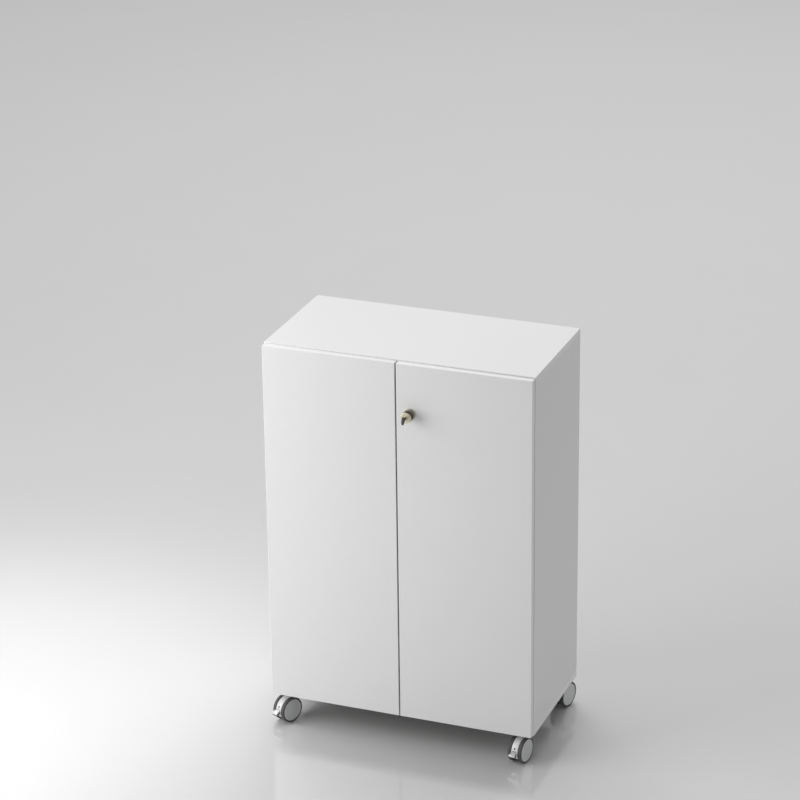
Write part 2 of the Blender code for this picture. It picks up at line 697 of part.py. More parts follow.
def strikes(cabinet):
    """Angles on the top and the base, whose lips stand in front of the raised rod, bolt and lower rod."""
    lip_back = ROD_Y - ROD_RADIUS - STRIKE_CLEARANCE
    lip_front = lip_back - STRIKE_THICKNESS
    foot_end = lip_back + STRIKE_FOOT
    high, low = lip_edges()
    spans = (
        ("upper_strike", CEILING_Z - SEAT_GAP, -1, high, BOLT_X - STRIKE_SIDE, LOCK_X + STRIKE_SIDE),
        ("lower_strike", FLOOR_Z + SEAT_GAP, 1, low, LOCK_X - STRIKE_SIDE, LOCK_X + STRIKE_SIDE),
    )
    for name, seat, way, edge, left, right in spans:
        foot = seat + way * STRIKE_THICKNESS
        outline = [
            (lip_front, seat),
            (lip_front, edge),
            (lip_back, edge),
            (lip_back, foot),
            (foot_end, foot),
            (foot_end, seat),
        ]
        solid(name, prism(outline, left, right, "X"), "zinc", cabinet)


def rods(axis):
    """The two lock rods in line behind the right door, each held by a guide near its end."""
    x = LOCK_X - HINGE_X
    y = PIN_DEPTH + ROD_OFFSET
    high, low = lip_edges()
    ends = (
        ("upper", LOCK_Z + ROD_MIDDLE_GAP, high - STRIKE_PASS, 1),
        ("lower", LOCK_Z - ROD_MIDDLE_GAP, low + STRIKE_PASS, -1),
    )
    for name, middle_end, far_end, way in ends:
        low_end, high_end = sorted((middle_end, far_end))
        bar = rod(ROD_RADIUS, low_end, high_end, "+Z", chamfer=ROD_CHAMFER)
        solid(f"{name}_lock_rod", bar, "bright_steel", axis, (x, y, 0.0))
        guide_z = far_end - way * GUIDE_FROM_END
        outer = ROD_RADIUS + ROD_CLEARANCE + GUIDE_WALL
        seat = -ROD_OFFSET + SEAT_GAP
        outline = [(outer, seat)] + arc((0.0, 0.0), outer, 0.0, math.pi, ROUND_STEPS) + [(-outer, seat)]
        clip = prism(outline, -GUIDE_HALF_HEIGHT, GUIDE_HALF_HEIGHT, "Z")
        clip = solid(f"{name}_rod_guide", clip, "grey_plastic", axis, (x, y, guide_z))
        channel = bore(ROD_RADIUS + ROD_CLEARANCE, -2 * GUIDE_HALF_HEIGHT, 2 * GUIDE_HALF_HEIGHT, "+Z")
        cut(clip, channel)


def bolt(axis):
    """The hand bolt behind the left door, which slides up behind the upper strike."""
    x = BOLT_X + HINGE_X
    y = PIN_DEPTH + ROD_OFFSET
    high, _ = lip_edges()
    tip = high - STRIKE_PASS
    case_top = tip - BOLT_CASE_DROP
    case_low = case_top - BOLT_CASE_HEIGHT
    outer = ROD_RADIUS + ROD_CLEARANCE + GUIDE_WALL
    seat = -ROD_OFFSET + SEAT_GAP
    outline = [(outer, seat)] + arc((0.0, 0.0), outer, 0.0, math.pi, ROUND_STEPS) + [(-outer, seat)]
    case = prism(outline, case_low, case_top, "Z")
    case = solid("left_bolt_case", case, "grey_plastic", axis, (x, y, 0.0))
    cut(case, bore(ROD_RADIUS + ROD_CLEARANCE, case_low - BOARD, case_top + BOARD, "+Z"))
    knob_top = case_low - ROD_TRAVEL - BOLT_SPARE
    knob_low = knob_top - BOLT_KNOB_LENGTH
    profile = [
        (0.0, knob_low),
        (BOLT_KNOB_RADIUS - ROD_CHAMFER, knob_low),
        (BOLT_KNOB_RADIUS, knob_low + ROD_CHAMFER),
        (BOLT_KNOB_RADIUS, knob_top - ROD_CHAMFER),
        (BOLT_KNOB_RADIUS - ROD_CHAMFER, knob_top),
        (ROD_RADIUS, knob_top),
        (ROD_RADIUS, tip - ROD_CHAMFER),
        (ROD_RADIUS - ROD_CHAMFER, tip),
        (0.0, tip),
    ]
    solid("left_bolt", turned(profile, "+Z", SMALL_SIDES), "bright_steel", axis, (x, y, 0.0))


def castor_plate(name, place, cabinet):
    """The fixed half of a castor: mounting plate, bearing cap and king pin."""
    profile = [
        (0.0, HEAD_Z + HEAD_THICKNESS - KING_PIN_LENGTH),
        (KING_PIN_RADIUS, HEAD_Z + HEAD_THICKNESS - KING_PIN_LENGTH),
        (KING_PIN_RADIUS, BEARING_Z),
        (HEAD_RADIUS, BEARING_Z),
        (BEARING_RADIUS, BEARING_Z + BEARING_HEIGHT / 2),
        (BEARING_RADIUS, PLATE_Z + PLATE_THICKNESS / 2),
        (0.0, PLATE_Z + PLATE_THICKNESS / 2),
    ]
    plate = solid(name, turned(profile, "+Z", CASTOR_SIDES), "bright_steel", cabinet, (*place, 0.0))
    outline = rounded_rectangle(PLATE_HALF_SIDE, PLATE_HALF_SIDE, PLATE_CORNER)
    join(plate, prism(outline, PLATE_Z, PLATE_Z + PLATE_THICKNESS, "Z"))


def castor_body(name, swivel, brake):
    """The swivelling hood between the wheels, with its neck, head, axle boss and pedal slot."""
    centre = (-CASTOR_OFFSET, AXLE_Z)
    outline = [(NECK_HALF_DEPTH, AXLE_Z + NECK_ABOVE_AXLE), (NECK_HALF_DEPTH, HEAD_Z + HEAD_THICKNESS / 2)]
    outline += [(-NECK_HALF_DEPTH, HEAD_Z + HEAD_THICKNESS / 2)]
    start = math.acos((CASTOR_OFFSET - NECK_HALF_DEPTH) / HOOD_RADIUS)
    outline += arc(centre, HOOD_RADIUS, start, HOOD_END, HOOD_STEPS)
    outline += arc(centre, HOOD_BOSS, HOOD_BOSS_START, HOOD_BOSS_END, BOSS_STEPS)
    body = solid(
        name, prism(outline, -HOOD_HALF_WIDTH, HOOD_HALF_WIDTH, "X"), "bright_steel", swivel
    )
    join(body, rod(HEAD_RADIUS, HEAD_Z, HEAD_Z + HEAD_THICKNESS, "+Z", CASTOR_SIDES))
    pin_end = HEAD_Z + HEAD_THICKNESS - KING_PIN_LENGTH - SEAT_GAP
    cut(body, bore(KING_PIN_RADIUS + BEARING_GAP, pin_end, PLATE_Z, "+Z"))
    axle = bore(AXLE_RADIUS + AXLE_CLEARANCE, -2 * HOOD_HALF_WIDTH, 2 * HOOD_HALF_WIDTH, "+X")
    cut(body, moved(axle, (0.0, *centre)))
    if brake:
        cut(body, pedal_slot())
        half = PEDAL_HUB_HALF_WIDTH + PEDAL_TRUNNION_LENGTH + SEAT_GAP
        pivot = bore(PEDAL_TRUNNION_RADIUS + PIN_CLEARANCE, -half, half, "+X")
        cut(body, moved(pivot, (0.0, *pedal_pivot())))


def pedal_pivot():
    return (
        -CASTOR_OFFSET + PEDAL_PIVOT_RADIUS * math.cos(PEDAL_PIVOT_ANGLE),
        AXLE_Z + PEDAL_PIVOT_RADIUS * math.sin(PEDAL_PIVOT_ANGLE),
    )


def tread_start():
    """From the pedal's pivot to its tread, whose lower corner just clears the hood when it is pressed."""
    pressed = PEDAL_SLOPE + PEDAL_PRESS
    along = Vector((-math.cos(pressed), -math.sin(pressed)))
    above = Vector((-math.sin(pressed), math.cos(pressed)))
    pivot = Vector(pedal_pivot()) - Vector((-CASTOR_OFFSET, AXLE_Z))
    corner = pivot - above * PEDAL_TREAD_THICKNESS / 2
    clear = HOOD_RADIUS + PEDAL_HOOD_CLEARANCE
    part_way = corner.dot(along)
    return math.sqrt(part_way**2 - corner.length_squared + clear**2) - part_way


def pedal_slot():
    """The room that the pedal's bar sweeps from rest to pressed."""
    clear = PEDAL_BARREL + PEDAL_SLOT_CLEARANCE
    reach = WHEEL_RADIUS
    drop = clear + reach * math.tan(PEDAL_PRESS + PEDAL_PRESS_SPARE)
    outline = [(clear, clear), (-reach, clear), (-reach, -drop), (0.0, -clear - SEAT_GAP), (clear, -clear)]
    half = PEDAL_HUB_HALF_WIDTH + PEDAL_SLOT_CLEARANCE
    bm = prism(outline, -half, half, "X")
    bmesh.ops.rotate(
        bm, verts=bm.verts, cent=(0, 0, 0), matrix=Matrix.Rotation(PEDAL_SLOPE, 3, "X")
    )
    return moved(bm, (0.0, *pedal_pivot()))


def brake_pedal(name, swivel):
    """A pressed lever on its own trunnions, with a folded tread in front of the hood."""
    end = PEDAL_HUB_HALF_WIDTH + PEDAL_TRUNNION_LENGTH
    profile = [
        (0.0, -end),
        (PEDAL_TRUNNION_RADIUS, -end),
        (PEDAL_TRUNNION_RADIUS, -PEDAL_HUB_HALF_WIDTH),
        (PEDAL_BARREL, -PEDAL_HUB_HALF_WIDTH),
        (PEDAL_BARREL, PEDAL_HUB_HALF_WIDTH),
        (PEDAL_TRUNNION_RADIUS, PEDAL_HUB_HALF_WIDTH),
        (PEDAL_TRUNNION_RADIUS, end),
        (0.0, end),
    ]
    pedal = solid(
        name,
        turned(profile, "+X", SMALL_SIDES),
        "bright_steel",
        swivel,
        (0.0, *pedal_pivot()),
        (PEDAL_SLOPE, 0.0, 0.0),
    )
    width = PEDAL_BAR_HALF_WIDTH
    start = tread_start()
    bar_end = start + PEDAL_TREAD_LENGTH / 2
    join(pedal, box((-width, -bar_end, -PEDAL_BAR_BELOW), (width, 0.0, PEDAL_BAR_ABOVE)))
    half = PEDAL_TREAD_THICKNESS / 2
    tip = start + PEDAL_TREAD_LENGTH
    outline = [
        (-start, half),
        (-tip + half, half),
        (-tip, 0.0),
        (-tip, -PEDAL_LIP),
        (-tip + 2 * half, -PEDAL_LIP),
        (-tip + 2 * half, -half),
        (-start, -half),
    ]
    join(pedal, prism(outline, -PEDAL_TREAD_HALF_WIDTH, PEDAL_TREAD_HALF_WIDTH, "X"))


def wheel(name, swivel, side):
    """A hollow twin wheel with a sunk outer disc, a soft rounded tread and a hub boss on the axle."""
    inner_bore = (AXLE_RADIUS + AXLE_CLEARANCE) / math.cos(math.pi / WHEEL_SIDES)
    face = WHEEL_WIDTH - WHEEL_DISC_SINK
    wall = WHEEL_RADIUS - WHEEL_WALL
    profile = [
        (0.0, AXLE_IN_WHEEL),
        (inner_bore, AXLE_IN_WHEEL),
        (inner_bore, 0.0),
        (WHEEL_BOSS, 0.0),
        (WHEEL_BOSS, WHEEL_RECESS),
        (wall, WHEEL_RECESS),
        (wall, 0.0),
        (WHEEL_RADIUS - WHEEL_ROUND, 0.0),
        (WHEEL_RADIUS, WHEEL_ROUND),
        (WHEEL_RADIUS, WHEEL_WIDTH - WHEEL_ROUND),
        (WHEEL_RADIUS - WHEEL_ROUND, WHEEL_WIDTH),
        (WHEEL_DISC_RADIUS + WHEEL_DISC_SINK, WHEEL_WIDTH),
        (WHEEL_DISC_RADIUS, face),
        (0.0, face),
    ]
    bm = turned(profile, "+X", WHEEL_SIDES)
    bmesh.ops.scale(bm, vec=(side, 1.0, 1.0), verts=bm.verts)
    place = (side * (HOOD_HALF_WIDTH + WHEEL_GAP), -CASTOR_OFFSET, AXLE_Z)
    solid(name, bm, "dark_tread", swivel, place)


def castor(name, place, turn, brake, cabinet):
    castor_plate(f"{name}_castor_plate", place, cabinet)
    swivel = empty(f"{name}_swivel", (*place, 0.0), cabinet, turn)
    castor_body(f"{name}_castor_body", swivel, brake)
    half = HOOD_HALF_WIDTH + WHEEL_GAP + AXLE_IN_WHEEL - SEAT_GAP
    axle = rod(AXLE_RADIUS, -half, half, "+X", chamfer=AXLE_CHAMFER)
    solid(f"{name}_axle", axle, "zinc", swivel, (0.0, -CASTOR_OFFSET, AXLE_Z))
    wheel(f"{name}_left_wheel", swivel, -1)
    wheel(f"{name}_right_wheel", swivel, 1)
    if brake:
        brake_pedal(f"{name}_brake_pedal", swivel)


def castors(cabinet):
    castor("front_left", (-CASTOR_X, -CASTOR_Y), FRONT_LEFT_TURN, True, cabinet)
    castor("front_right", (CASTOR_X, -CASTOR_Y), FRONT_RIGHT_TURN, True, cabinet)
    castor("rear_right", (CASTOR_X, CASTOR_Y), REAR_RIGHT_TURN, False, cabinet)
    castor("rear_left", (-CASTOR_X, CASTOR_Y), REAR_LEFT_TURN, False, cabinet)


def main():
    clear_scene()
    cabinet = empty("cabinet", (0.0, FRAME_SHIFT, 0.0))
    carcass(cabinet)
    shelves(cabinet)
    strikes(cabinet)
    axes = doors(cabinet)
    bolt(axes["left"][0])
    lock(*axes["right"])
    rods(axes["right"][0])
    castors(cabinet)


main()
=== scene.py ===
"""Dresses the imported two-door file cupboard: boards, hinges, lock, castors, fittings and a plain studio."""

import json
import math
from itertools import product

import bmesh
import bpy
from bpy.props import FloatProperty, FloatVectorProperty, IntProperty, PointerProperty
from mathutils import Matrix, Vector


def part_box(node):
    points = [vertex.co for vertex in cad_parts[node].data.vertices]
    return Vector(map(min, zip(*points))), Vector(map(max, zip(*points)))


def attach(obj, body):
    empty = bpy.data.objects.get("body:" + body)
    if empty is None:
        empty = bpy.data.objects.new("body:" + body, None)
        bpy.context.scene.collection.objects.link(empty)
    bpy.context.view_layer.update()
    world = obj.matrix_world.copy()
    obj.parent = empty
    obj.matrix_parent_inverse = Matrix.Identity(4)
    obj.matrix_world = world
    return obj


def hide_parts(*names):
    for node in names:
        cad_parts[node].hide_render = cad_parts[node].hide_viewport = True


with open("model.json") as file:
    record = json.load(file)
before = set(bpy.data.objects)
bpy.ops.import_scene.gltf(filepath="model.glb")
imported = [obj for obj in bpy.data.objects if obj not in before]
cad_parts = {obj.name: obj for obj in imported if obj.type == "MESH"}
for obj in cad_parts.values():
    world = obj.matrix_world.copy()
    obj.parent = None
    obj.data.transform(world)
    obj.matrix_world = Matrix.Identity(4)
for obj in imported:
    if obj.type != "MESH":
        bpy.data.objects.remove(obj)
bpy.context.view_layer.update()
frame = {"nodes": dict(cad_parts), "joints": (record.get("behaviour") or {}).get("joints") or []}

bl_info = {
    "name": "File cupboard dressing",
    "version": (1, 0, 0),
    "blender": (4, 5, 0),
    "location": "View3D > Sidebar > Cupboard",
    "description": "Models and finishes the visible pieces of a mobile two-door file cupboard",
    "category": "Object",
}

JOINTS = {joint["name"]: joint for joint in frame["joints"]}
CASTORS = ("front_left", "front_right", "rear_right", "rear_left")
BRAKED = ("front_left", "front_right")
HINGES = ("upper", "middle", "lower")
DEPTHS = ("front", "rear")
INWARD = {"left": 1, "right": -1}  # from each side towards the middle, along X

SHARP, BLUNT = math.radians(35), math.radians(60)  # edges beyond these angles are rounded
FLAT = 0.999  # a face is square to an axis when its normal passes this
WIDE, MID, SMALL, TINY, HOLE = 96, 64, 32, 24, 20  # segments round circles, from the largest down
BOW, CORNER = 48, 6  # segments along a long arc and round a corner
TURN_MERGE, FUSE_MERGE, NODE_MERGE = 1e-6, 5e-6, 1e-5  # points nearer than these are one
SEAT = 0.0003  # gap between pieces that touch
OVERSHOOT = 0.01  # how far a cutter passes the face that it opens
BORE_PLAY = 1.1  # bore for the spindle, as a share of its radius
FINE_EDGE, SHEET_EDGE, TIP, MOULDED_EDGE, HOOD_EDGE = 0.0003, 0.0005, 0.0006, 0.0008, 0.0012  # roundings
SCREWS = {  # radius and height of the heads
    "cup": (0.0036, 0.0013),
    "arm": (0.0036, 0.0016),
    "case": (0.0025, 0.001),
    "plate": (0.0042, 0.0022),
    "strike": (0.0026, 0.0012),
}
BITTING = (0.0008, 0.0016, 0.0004, 0.0013, 0.0007)  # depths of the key's cuts

COLOUR_A, COLOUR_B, COLOUR_OUT = 6, 7, 2  # colour sockets of the mix node
# GAP_SHADE is painted shade: the door edges that meet are greyed to darken the gap between the doors.
# SHADE_BACKING is painted shade: the base's underside is made dark to deepen the floor's shadow.
FACE, BAND, CORE, SHADE_BACKING, GAP_SHADE = range(5)  # places of a board's finishes
BOARD_LOOKS = "face band core backing meeting"
PLASTIC, RUBBER_AND_HOLE_SHADE, CLEAR = (0.50, 0.51, 0.52), (0.012, 0.012, 0.013), (0.70, 0.71, 0.70)
COAT_GLOSS, PLATE_SHINE, PLATE_DULL = 0.05, 0.08, 0.10  # how far roughness strays
BRUSH_DEPTH, FLAKE_DEPTH, FLAKE_SCALE = 0.00002, 0.0004, 700.0

# Where each light stands and the point that it faces.
KEY_LIGHT = (-1.8, -1.4, 1.5), (-0.3, 0.0, 0.8)
BACK_LIGHT = (-1.0, 5.0, 9.0), (0.0, 3.0, 0.0)
EDGE_LIGHT = (-1.5, -0.6, 4.0), (-1.3, -0.3, 0.0)


def length(name, description, default):
    return FloatProperty(name=name, description=description, default=default, unit="LENGTH", precision=5)


def angle(name, description, degrees):
    return FloatProperty(name=name, description=description, default=math.radians(degrees), subtype="ANGLE")


def power(name, description, default):
    return FloatProperty(name=name, description=description, default=default, unit="POWER")


def number(name, description, default):
    return FloatProperty(name=name, description=description, default=default)


def colour(name, description, default):
    return FloatVectorProperty(
        name=name, description=description, default=default, subtype="COLOR", size=3, min=0.0, max=1.0
    )


class BoardSettings(bpy.types.PropertyGroup):
    """Sizes and colours of the coated boards."""

    edge: length("Board edge", "Rounding along the edges of the carcass boards", 0.0008)
    door_edge: length("Door edge", "Rounding along the edges of the doors", 0.0012)
    band: length("Edge band", "Width of edge band that shows on a board's face", 0.0006)
    row_hole: length("Row hole radius", "Radius of the holes for shelf pins", 0.0027)
    pin_radius: length("Shelf pin radius", "Radius of the pins in those holes", 0.0025)
    pin_sunk: length("Shelf pin depth", "Length of a pin inside its hole", 0.008)
    pin_collar: length("Shelf pin collar", "Thickness of the collar on a pin", 0.0015)
    row_depth: length("Row hole depth", "Depth of the holes for shelf pins", 0.0095)
    row_pitch: length("Row pitch", "Distance between the holes for shelf pins", 0.032)
    row_margin: length("Row margin", "Distance from the end of a row to the boards above and below", 0.085)
    face: colour("Face colour", "White of the coated faces", (0.80, 0.80, 0.80))
    banding: colour("Band colour", "White of the edge bands", (0.84, 0.84, 0.84))
    # Painted shade: grey for the door edges in the gap between the doors.
    meeting: colour("Painted gap shade", "Painted shade: grey of the bands where the doors meet", (0.56, 0.56, 0.56))
    core: colour("Core colour", "Chipboard inside drilled holes", (0.42, 0.30, 0.19))
    # Painted shade: the base's underside is made dark so that the floor under the cupboard looks more shaded.
    backing: colour("Painted shade under the base", "Dark underside of the base, painted shade that deepens the floor's shadow", (0.085, 0.080, 0.075))


class HingeSettings(bpy.types.PropertyGroup):
    """Sizes of the concealed hinges, measured from the hinge pin."""

    pin_depth: length("Pin depth", "From the door's back face to the pin", 0.0105)
    pin_radius: length("Pin radius", "Radius of the hinge pin", 0.00115)
    cup_offset: length("Cup offset", "From the pin to the middle of the cup", 0.0125)
    cup_radius: length("Cup radius", "Outer radius of the cup", 0.0172)
    cup_wall: length("Cup wall", "Wall of the cup", 0.001)
    cup_floor: length("Cup floor", "From the door's back face to the inside floor of the cup", 0.01325)
    cup_depth: length("Cup depth", "From the door's back face to the outside floor of the cup", 0.01405)
    hole_radius: length("Cup hole radius", "Radius of the hole in the door", 0.0175)
    hole_depth: length("Cup hole depth", "Depth of the hole in the door", 0.01435)
    flange_radius: length("Flange radius", "Radius of the flange round the cup", 0.0195)
    flange: length("Flange thickness", "Thickness of the flange", 0.001)
    ear_offset: length("Ear offset", "From the middle of the cup to the screw ears", 0.0095)
    ear_half: length("Ear half length", "Half of the distance over both screw ears", 0.029)
    ear_width: length("Ear half width", "Half of a screw ear's width", 0.006)
    knuckle: length("Knuckle radius", "Outer radius of the knuckle on the pin", 0.00235)
    neck: length("Neck thickness", "Thickness of the bent neck", 0.0024)
    neck_half: length("Neck half width", "Half of the neck's width", 0.0055)
    neck_reach: length("Neck reach", "From the pin to the bend of the neck", 0.014)
    arm_half: length("Arm half width", "Half of the arm's width", 0.0075)
    arm: length("Arm thickness", "Height of the arm over its plate", 0.009)
    arm_start: length("Arm start", "From the carcass front to the arm", 0.009)
    arm_length: length("Arm length", "Length of the arm", 0.054)
    wing_setback: length("Wing setback", "From the carcass front to the middle of the plate", 0.037)
    wing_half: length("Wing half width", "Half of the mounting plate's width", 0.010)
    wing_reach: length("Wing half length", "Half of the mounting plate's length", 0.025)
    wing: length("Wing thickness", "Thickness of the mounting plate", 0.0034)
    gap: length("Seat gap", "Gap between pieces that touch", 0.0003)
    steel: colour("Steel colour", "Nickel-plated steel", (0.60, 0.60, 0.61))


class LockSettings(bpy.types.PropertyGroup):
    """Sizes and colours of the keyed knob and the rods behind the door."""

    rosette: length("Rosette radius", "Radius of the rosette", 0.017)
    rosette_height: length("Rosette height", "Thickness of the rosette", 0.004)
    knob: length("Knob radius", "Radius of the knob", 0.016)
    knob_neck: length("Knob neck", "Radius of the knob at its foot", 0.0135)
    knob_back: length("Knob back", "From the door to the back of the knob", 0.0046)
    knob_face: length("Knob face", "From the door to the face of the knob", 0.0306)
    knob_rim: length("Knob rim", "Rounding round the face of the knob", 0.0020)
    spindle: length("Spindle radius", "Radius of the spindle through the door", 0.004)
    plug: length("Plug radius", "Radius of the lock plug", 0.00585)
    plug_length: length("Plug length", "Length of the lock plug", 0.020)
    key: length("Key thickness", "Thickness of the key", 0.002)
    blade: length("Blade half height", "Half of the key blade's height", 0.0035)
    blade_length: length("Blade length", "Length of the key blade in the plug", 0.017)
    key_neck: length("Key neck", "From the knob to the key's bow", 0.010)
    bow: length("Bow radius", "Radius of the key's bow", 0.0115)
    rod: length("Rod radius", "Radius of the lock rods", 0.0035)
    rod_play: length("Rod play", "Gap round a rod in its guide", 0.0004)
    rod_tip: length("Rod tip", "Chamfer at the ends of the rods and the bolt", 0.001)
    bolt_knob: length("Bolt knob length", "Length of the hand bolt's knob", 0.008)
    case_edge: length("Case edge", "Rounding along the edges of the lock case", 0.003)
    brass: colour("Knob colour", "Pale plated face of the knob", (0.74, 0.70, 0.53))
    side: colour("Knob side colour", "Dark plated side of the knob", (0.105, 0.094, 0.072))
    neck: colour("Knob neck colour", "Dull olive plate of the knob's neck", (0.44, 0.42, 0.34))
    olive: colour("Rosette colour", "Olive grey of the rosette", (0.52, 0.51, 0.42))
    dark: colour("Key colour", "Dark plated key", (0.105, 0.090, 0.112))


class CastorSettings(bpy.types.PropertyGroup):
    """Sizes and colours of the twin-wheel castors."""

    width: length("Wheel width", "Width of one wheel", 0.0112)
    shoulder: length("Tread shoulder", "Rounding at the sides of the tread", 0.0025)
    wall: length("Tread wall", "Thickness of the tread ring", 0.005)
    disc: length("Disc radius", "Radius of the wheel's outer disc", 0.0315)
    recess: length("Wheel recess", "Depth of the hollow behind the disc", 0.007)
    boss: length("Boss radius", "Radius of the hub boss", 0.009)
    axle: length("Axle bore radius", "Radius of the bore for the axle", 0.0043)
    axle_depth: length("Axle bore depth", "Depth of the axle's bore in a wheel", 0.0078)
    hood: length("Hood radius", "Radius of the hood round the axle", 0.0375)
    hood_half: length("Hood half width", "Half of the hood's width", 0.010)
    head: length("Head radius", "Radius of the swivel head", 0.020)
    head_thick: length("Head thickness", "Thickness of the swivel head", 0.005)
    neck: length("Neck half depth", "Half of the neck's depth", 0.013)
    king_pin: length("King pin bore", "Radius of the king pin's bore", 0.0059)
    king_play: length("King pin play", "Gap round the king pin in its bore", 0.0004)
    plate: length("Plate thickness", "Thickness of the mounting plate", 0.003)
    plate_corner: length("Plate corner", "Radius of the mounting plate's corners", 0.006)
    bearing: length("Bearing cap radius", "Radius of the bearing cap under the plate", 0.0235)
    bearing_height: length("Bearing cap height", "Height of the bearing cap", 0.0065)
    king_depth: length("King pin depth", "Depth of the king pin's bore", 0.0083)
    pedal_slope: angle("Pedal slope", "Slope of the brake pedal", 12)
    pedal_half: length("Pedal half width", "Half of the pedal tread's width", 0.0095)
    pedal_start: length("Pedal start", "From the pedal's pivot to its tread", 0.0205)
    pedal_tip: length("Pedal tip", "From the pedal's pivot to the end of its tread", 0.0335)
    pedal_hub: length("Pedal hub", "Half of the pedal hub's width", 0.006)
    pedal_lip: length("Pedal lip", "From the middle of the tread to its folded lip", 0.005)
    slot_half: length("Slot half width", "Half of the pedal slot's width", 0.0066)
    rivet: length("Rivet hole", "Radius of the hole above the pedal", 0.0026)
    rivet_turn: angle("Rivet turn", "Where the hole lies round the axle", 156)
    ribs: IntProperty(name="Wheel ribs", description="Ribs inside a wheel", default=8, min=3)
    tread: colour("Tread colour", "Dark grey of the soft tread", (0.085, 0.085, 0.09))
    disc_grey: colour("Disc colour", "Grey of the wheel discs", (0.64, 0.645, 0.65))
    hood_white: colour("Hood colour", "Silver white of the hoods", (0.82, 0.82, 0.82))
    pedal: colour("Pedal colour", "Bright plate of the brake pedals", (0.84, 0.84, 0.85))


class StageSettings(bpy.types.PropertyGroup):
    """Camera, floor and lights."""

    camera_place: FloatVectorProperty(
        name="Camera place",
        description="Where the camera stands",
        default=(2.88202, -7.51497, 4.36691),
        unit="LENGTH",
    )
    yaw: angle("Yaw", "Camera's turn about the vertical", 21.380)
    pitch: angle("Pitch", "Camera's look downwards", 22.650)
    roll: angle("Roll", "Camera's roll about its view", 0.745)
    lens: number("Lens", "Focal length in millimetres", 139.36)
    floor_size: length("Floor size", "Side of the floor", 80.0)
    floor: colour("Floor colour", "Pale floor", (0.70, 0.70, 0.70))
    floor_rough: number("Floor roughness", "Roughness of the polished floor", 0.12)
    floor_ior: number("Floor IOR", "Strength of the floor's mirror image", 2.5)
    key_size: length("Key light size", "Side of the key light", 2.0)
    back_size: length("Back light size", "Side of the back light", 8.0)
    edge_cone: angle("Edge light cone", "Opening of the edge light", 35)
    edge_size: length("Edge light size", "Radius of the edge light", 0.3)
    ambient: number("Ambient", "Strength of the even light", 0.402)
    key_power: power("Key light", "Soft light at the front left", 40.0)
    back_power: power("Back light", "Large soft light above and behind", 584.0)
    edge_power: power("Edge light", "Spot on the floor at the left", 224.0)


GROUPS = {
    "cupboard_boards": BoardSettings,
    "cupboard_hinges": HingeSettings,
    "cupboard_lock": LockSettings,
    "cupboard_castors": CastorSettings,
    "cupboard_stage": StageSettings,
}


# Shape helpers


def mesh_of(bm, name):
    """The shape as a mesh; the shape itself is let go."""
    mesh = bpy.data.meshes.new(name)
    bm.to_mesh(mesh)
    bm.free()
    return mesh


def linked(name, data):
    """A new object in the scene."""
    obj = bpy.data.objects.new(name, data)
    bpy.context.scene.collection.objects.link(obj)
    return obj


def centre_of(node):
    """The middle of a CAD node's box."""
    return [(low + high) / 2 for low, high in zip(*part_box(node))]


def joint_place(name):
    return Vector(JOINTS[name]["pos_m"])


def mirrored(way):
    """Leaves a shape as it is for a way of 1 and mirrors it along X for -1."""
    return Matrix.Diagonal((way, 1.0, 1.0, 1.0))


def box(low, high, edge=0.0, segments=3):
    """A box between two corners with rounded edges."""
    bm = bmesh.new()
    bmesh.ops.create_cube(bm, size=1.0)
    low, high = Vector(low), Vector(high)
    bmesh.ops.scale(bm, vec=high - low, verts=bm.verts)
    bmesh.ops.translate(bm, vec=(low + high) / 2, verts=bm.verts)
    return rounded(bm, edge, segments)


def rounded(bm, edge, segments=3, sharp=SHARP):
    """Rounds every edge that is sharper than the angle."""
    if edge:
        edges = [e for e in bm.edges if e.calc_face_angle(0.0) > sharp]
        bmesh.ops.bevel(
            bm,
            geom=edges,
            offset=edge,
            segments=segments,
            profile=0.5,
            affect="EDGES",
            material=-1,
            clamp_overlap=True,
        )
    return bm


def arc(centre, radius, start, end, steps):
    """Points along an arc, angles in degrees, both ends included."""
    turn = [math.radians(start + (end - start) * i / steps) for i in range(steps + 1)]
    return [(centre[0] + radius * math.cos(a), centre[1] + radius * math.sin(a)) for a in turn]


def plate_outline(half_width, half_height, radius):
    """A rectangle with round corners."""
    points = []
    for i, (sx, sy) in enumerate(((1, 1), (-1, 1), (-1, -1), (1, -1))):
        corner = (sx * (half_width - radius), sy * (half_height - radius))
        points += arc(corner, radius, 90 * i, 90 * i + 90, CORNER)
    return points


def prism(outline, low, high, axis, edge=0.0, segments=2, sharp=SHARP):
    """An outline pushed along X, Y or Z, with rounded edges."""
    index = "XYZ".index(axis)
    bm = bmesh.new()
    verts = []
    for point in outline:
        place = list(point)
        place.insert(index, low)
        verts.append(bm.verts.new(place))
    pushed = bmesh.ops.extrude_face_region(bm, geom=[bm.faces.new(verts)])
    along = Vector((0.0, 0.0, 0.0))
    along[index] = high - low
    far = [v for v in pushed["geom"] if isinstance(v, bmesh.types.BMVert)]
    bmesh.ops.translate(bm, vec=along, verts=far)
    bmesh.ops.recalc_face_normals(bm, faces=bm.faces)
    return rounded(bm, edge, segments, sharp)


def turned(profile, axis="Z", steps=MID, ring=False):
    """A profile of (radius, height) turned about an axis; a ring's profile closes on itself."""
    bm = bmesh.new()
    verts = [bm.verts.new((r, 0.0, h)) for r, h in profile]
    edges = [bm.edges.new(pair) for pair in zip(verts, verts[1:])]
    if ring:
        edges.append(bm.edges.new((verts[-1], verts[0])))
    bmesh.ops.spin(
        bm, geom=verts + edges, cent=(0, 0, 0), axis=(0, 0, 1), angle=math.tau, steps=steps, use_merge=True
    )
    bmesh.ops.remove_doubles(bm, verts=bm.verts, dist=TURN_MERGE)
    bmesh.ops.recalc_face_normals(bm, faces=bm.faces)
    about = {"X": "Y", "-Y": "X"}
    return spun(bm, math.pi / 2, about[axis]) if axis in about else bm


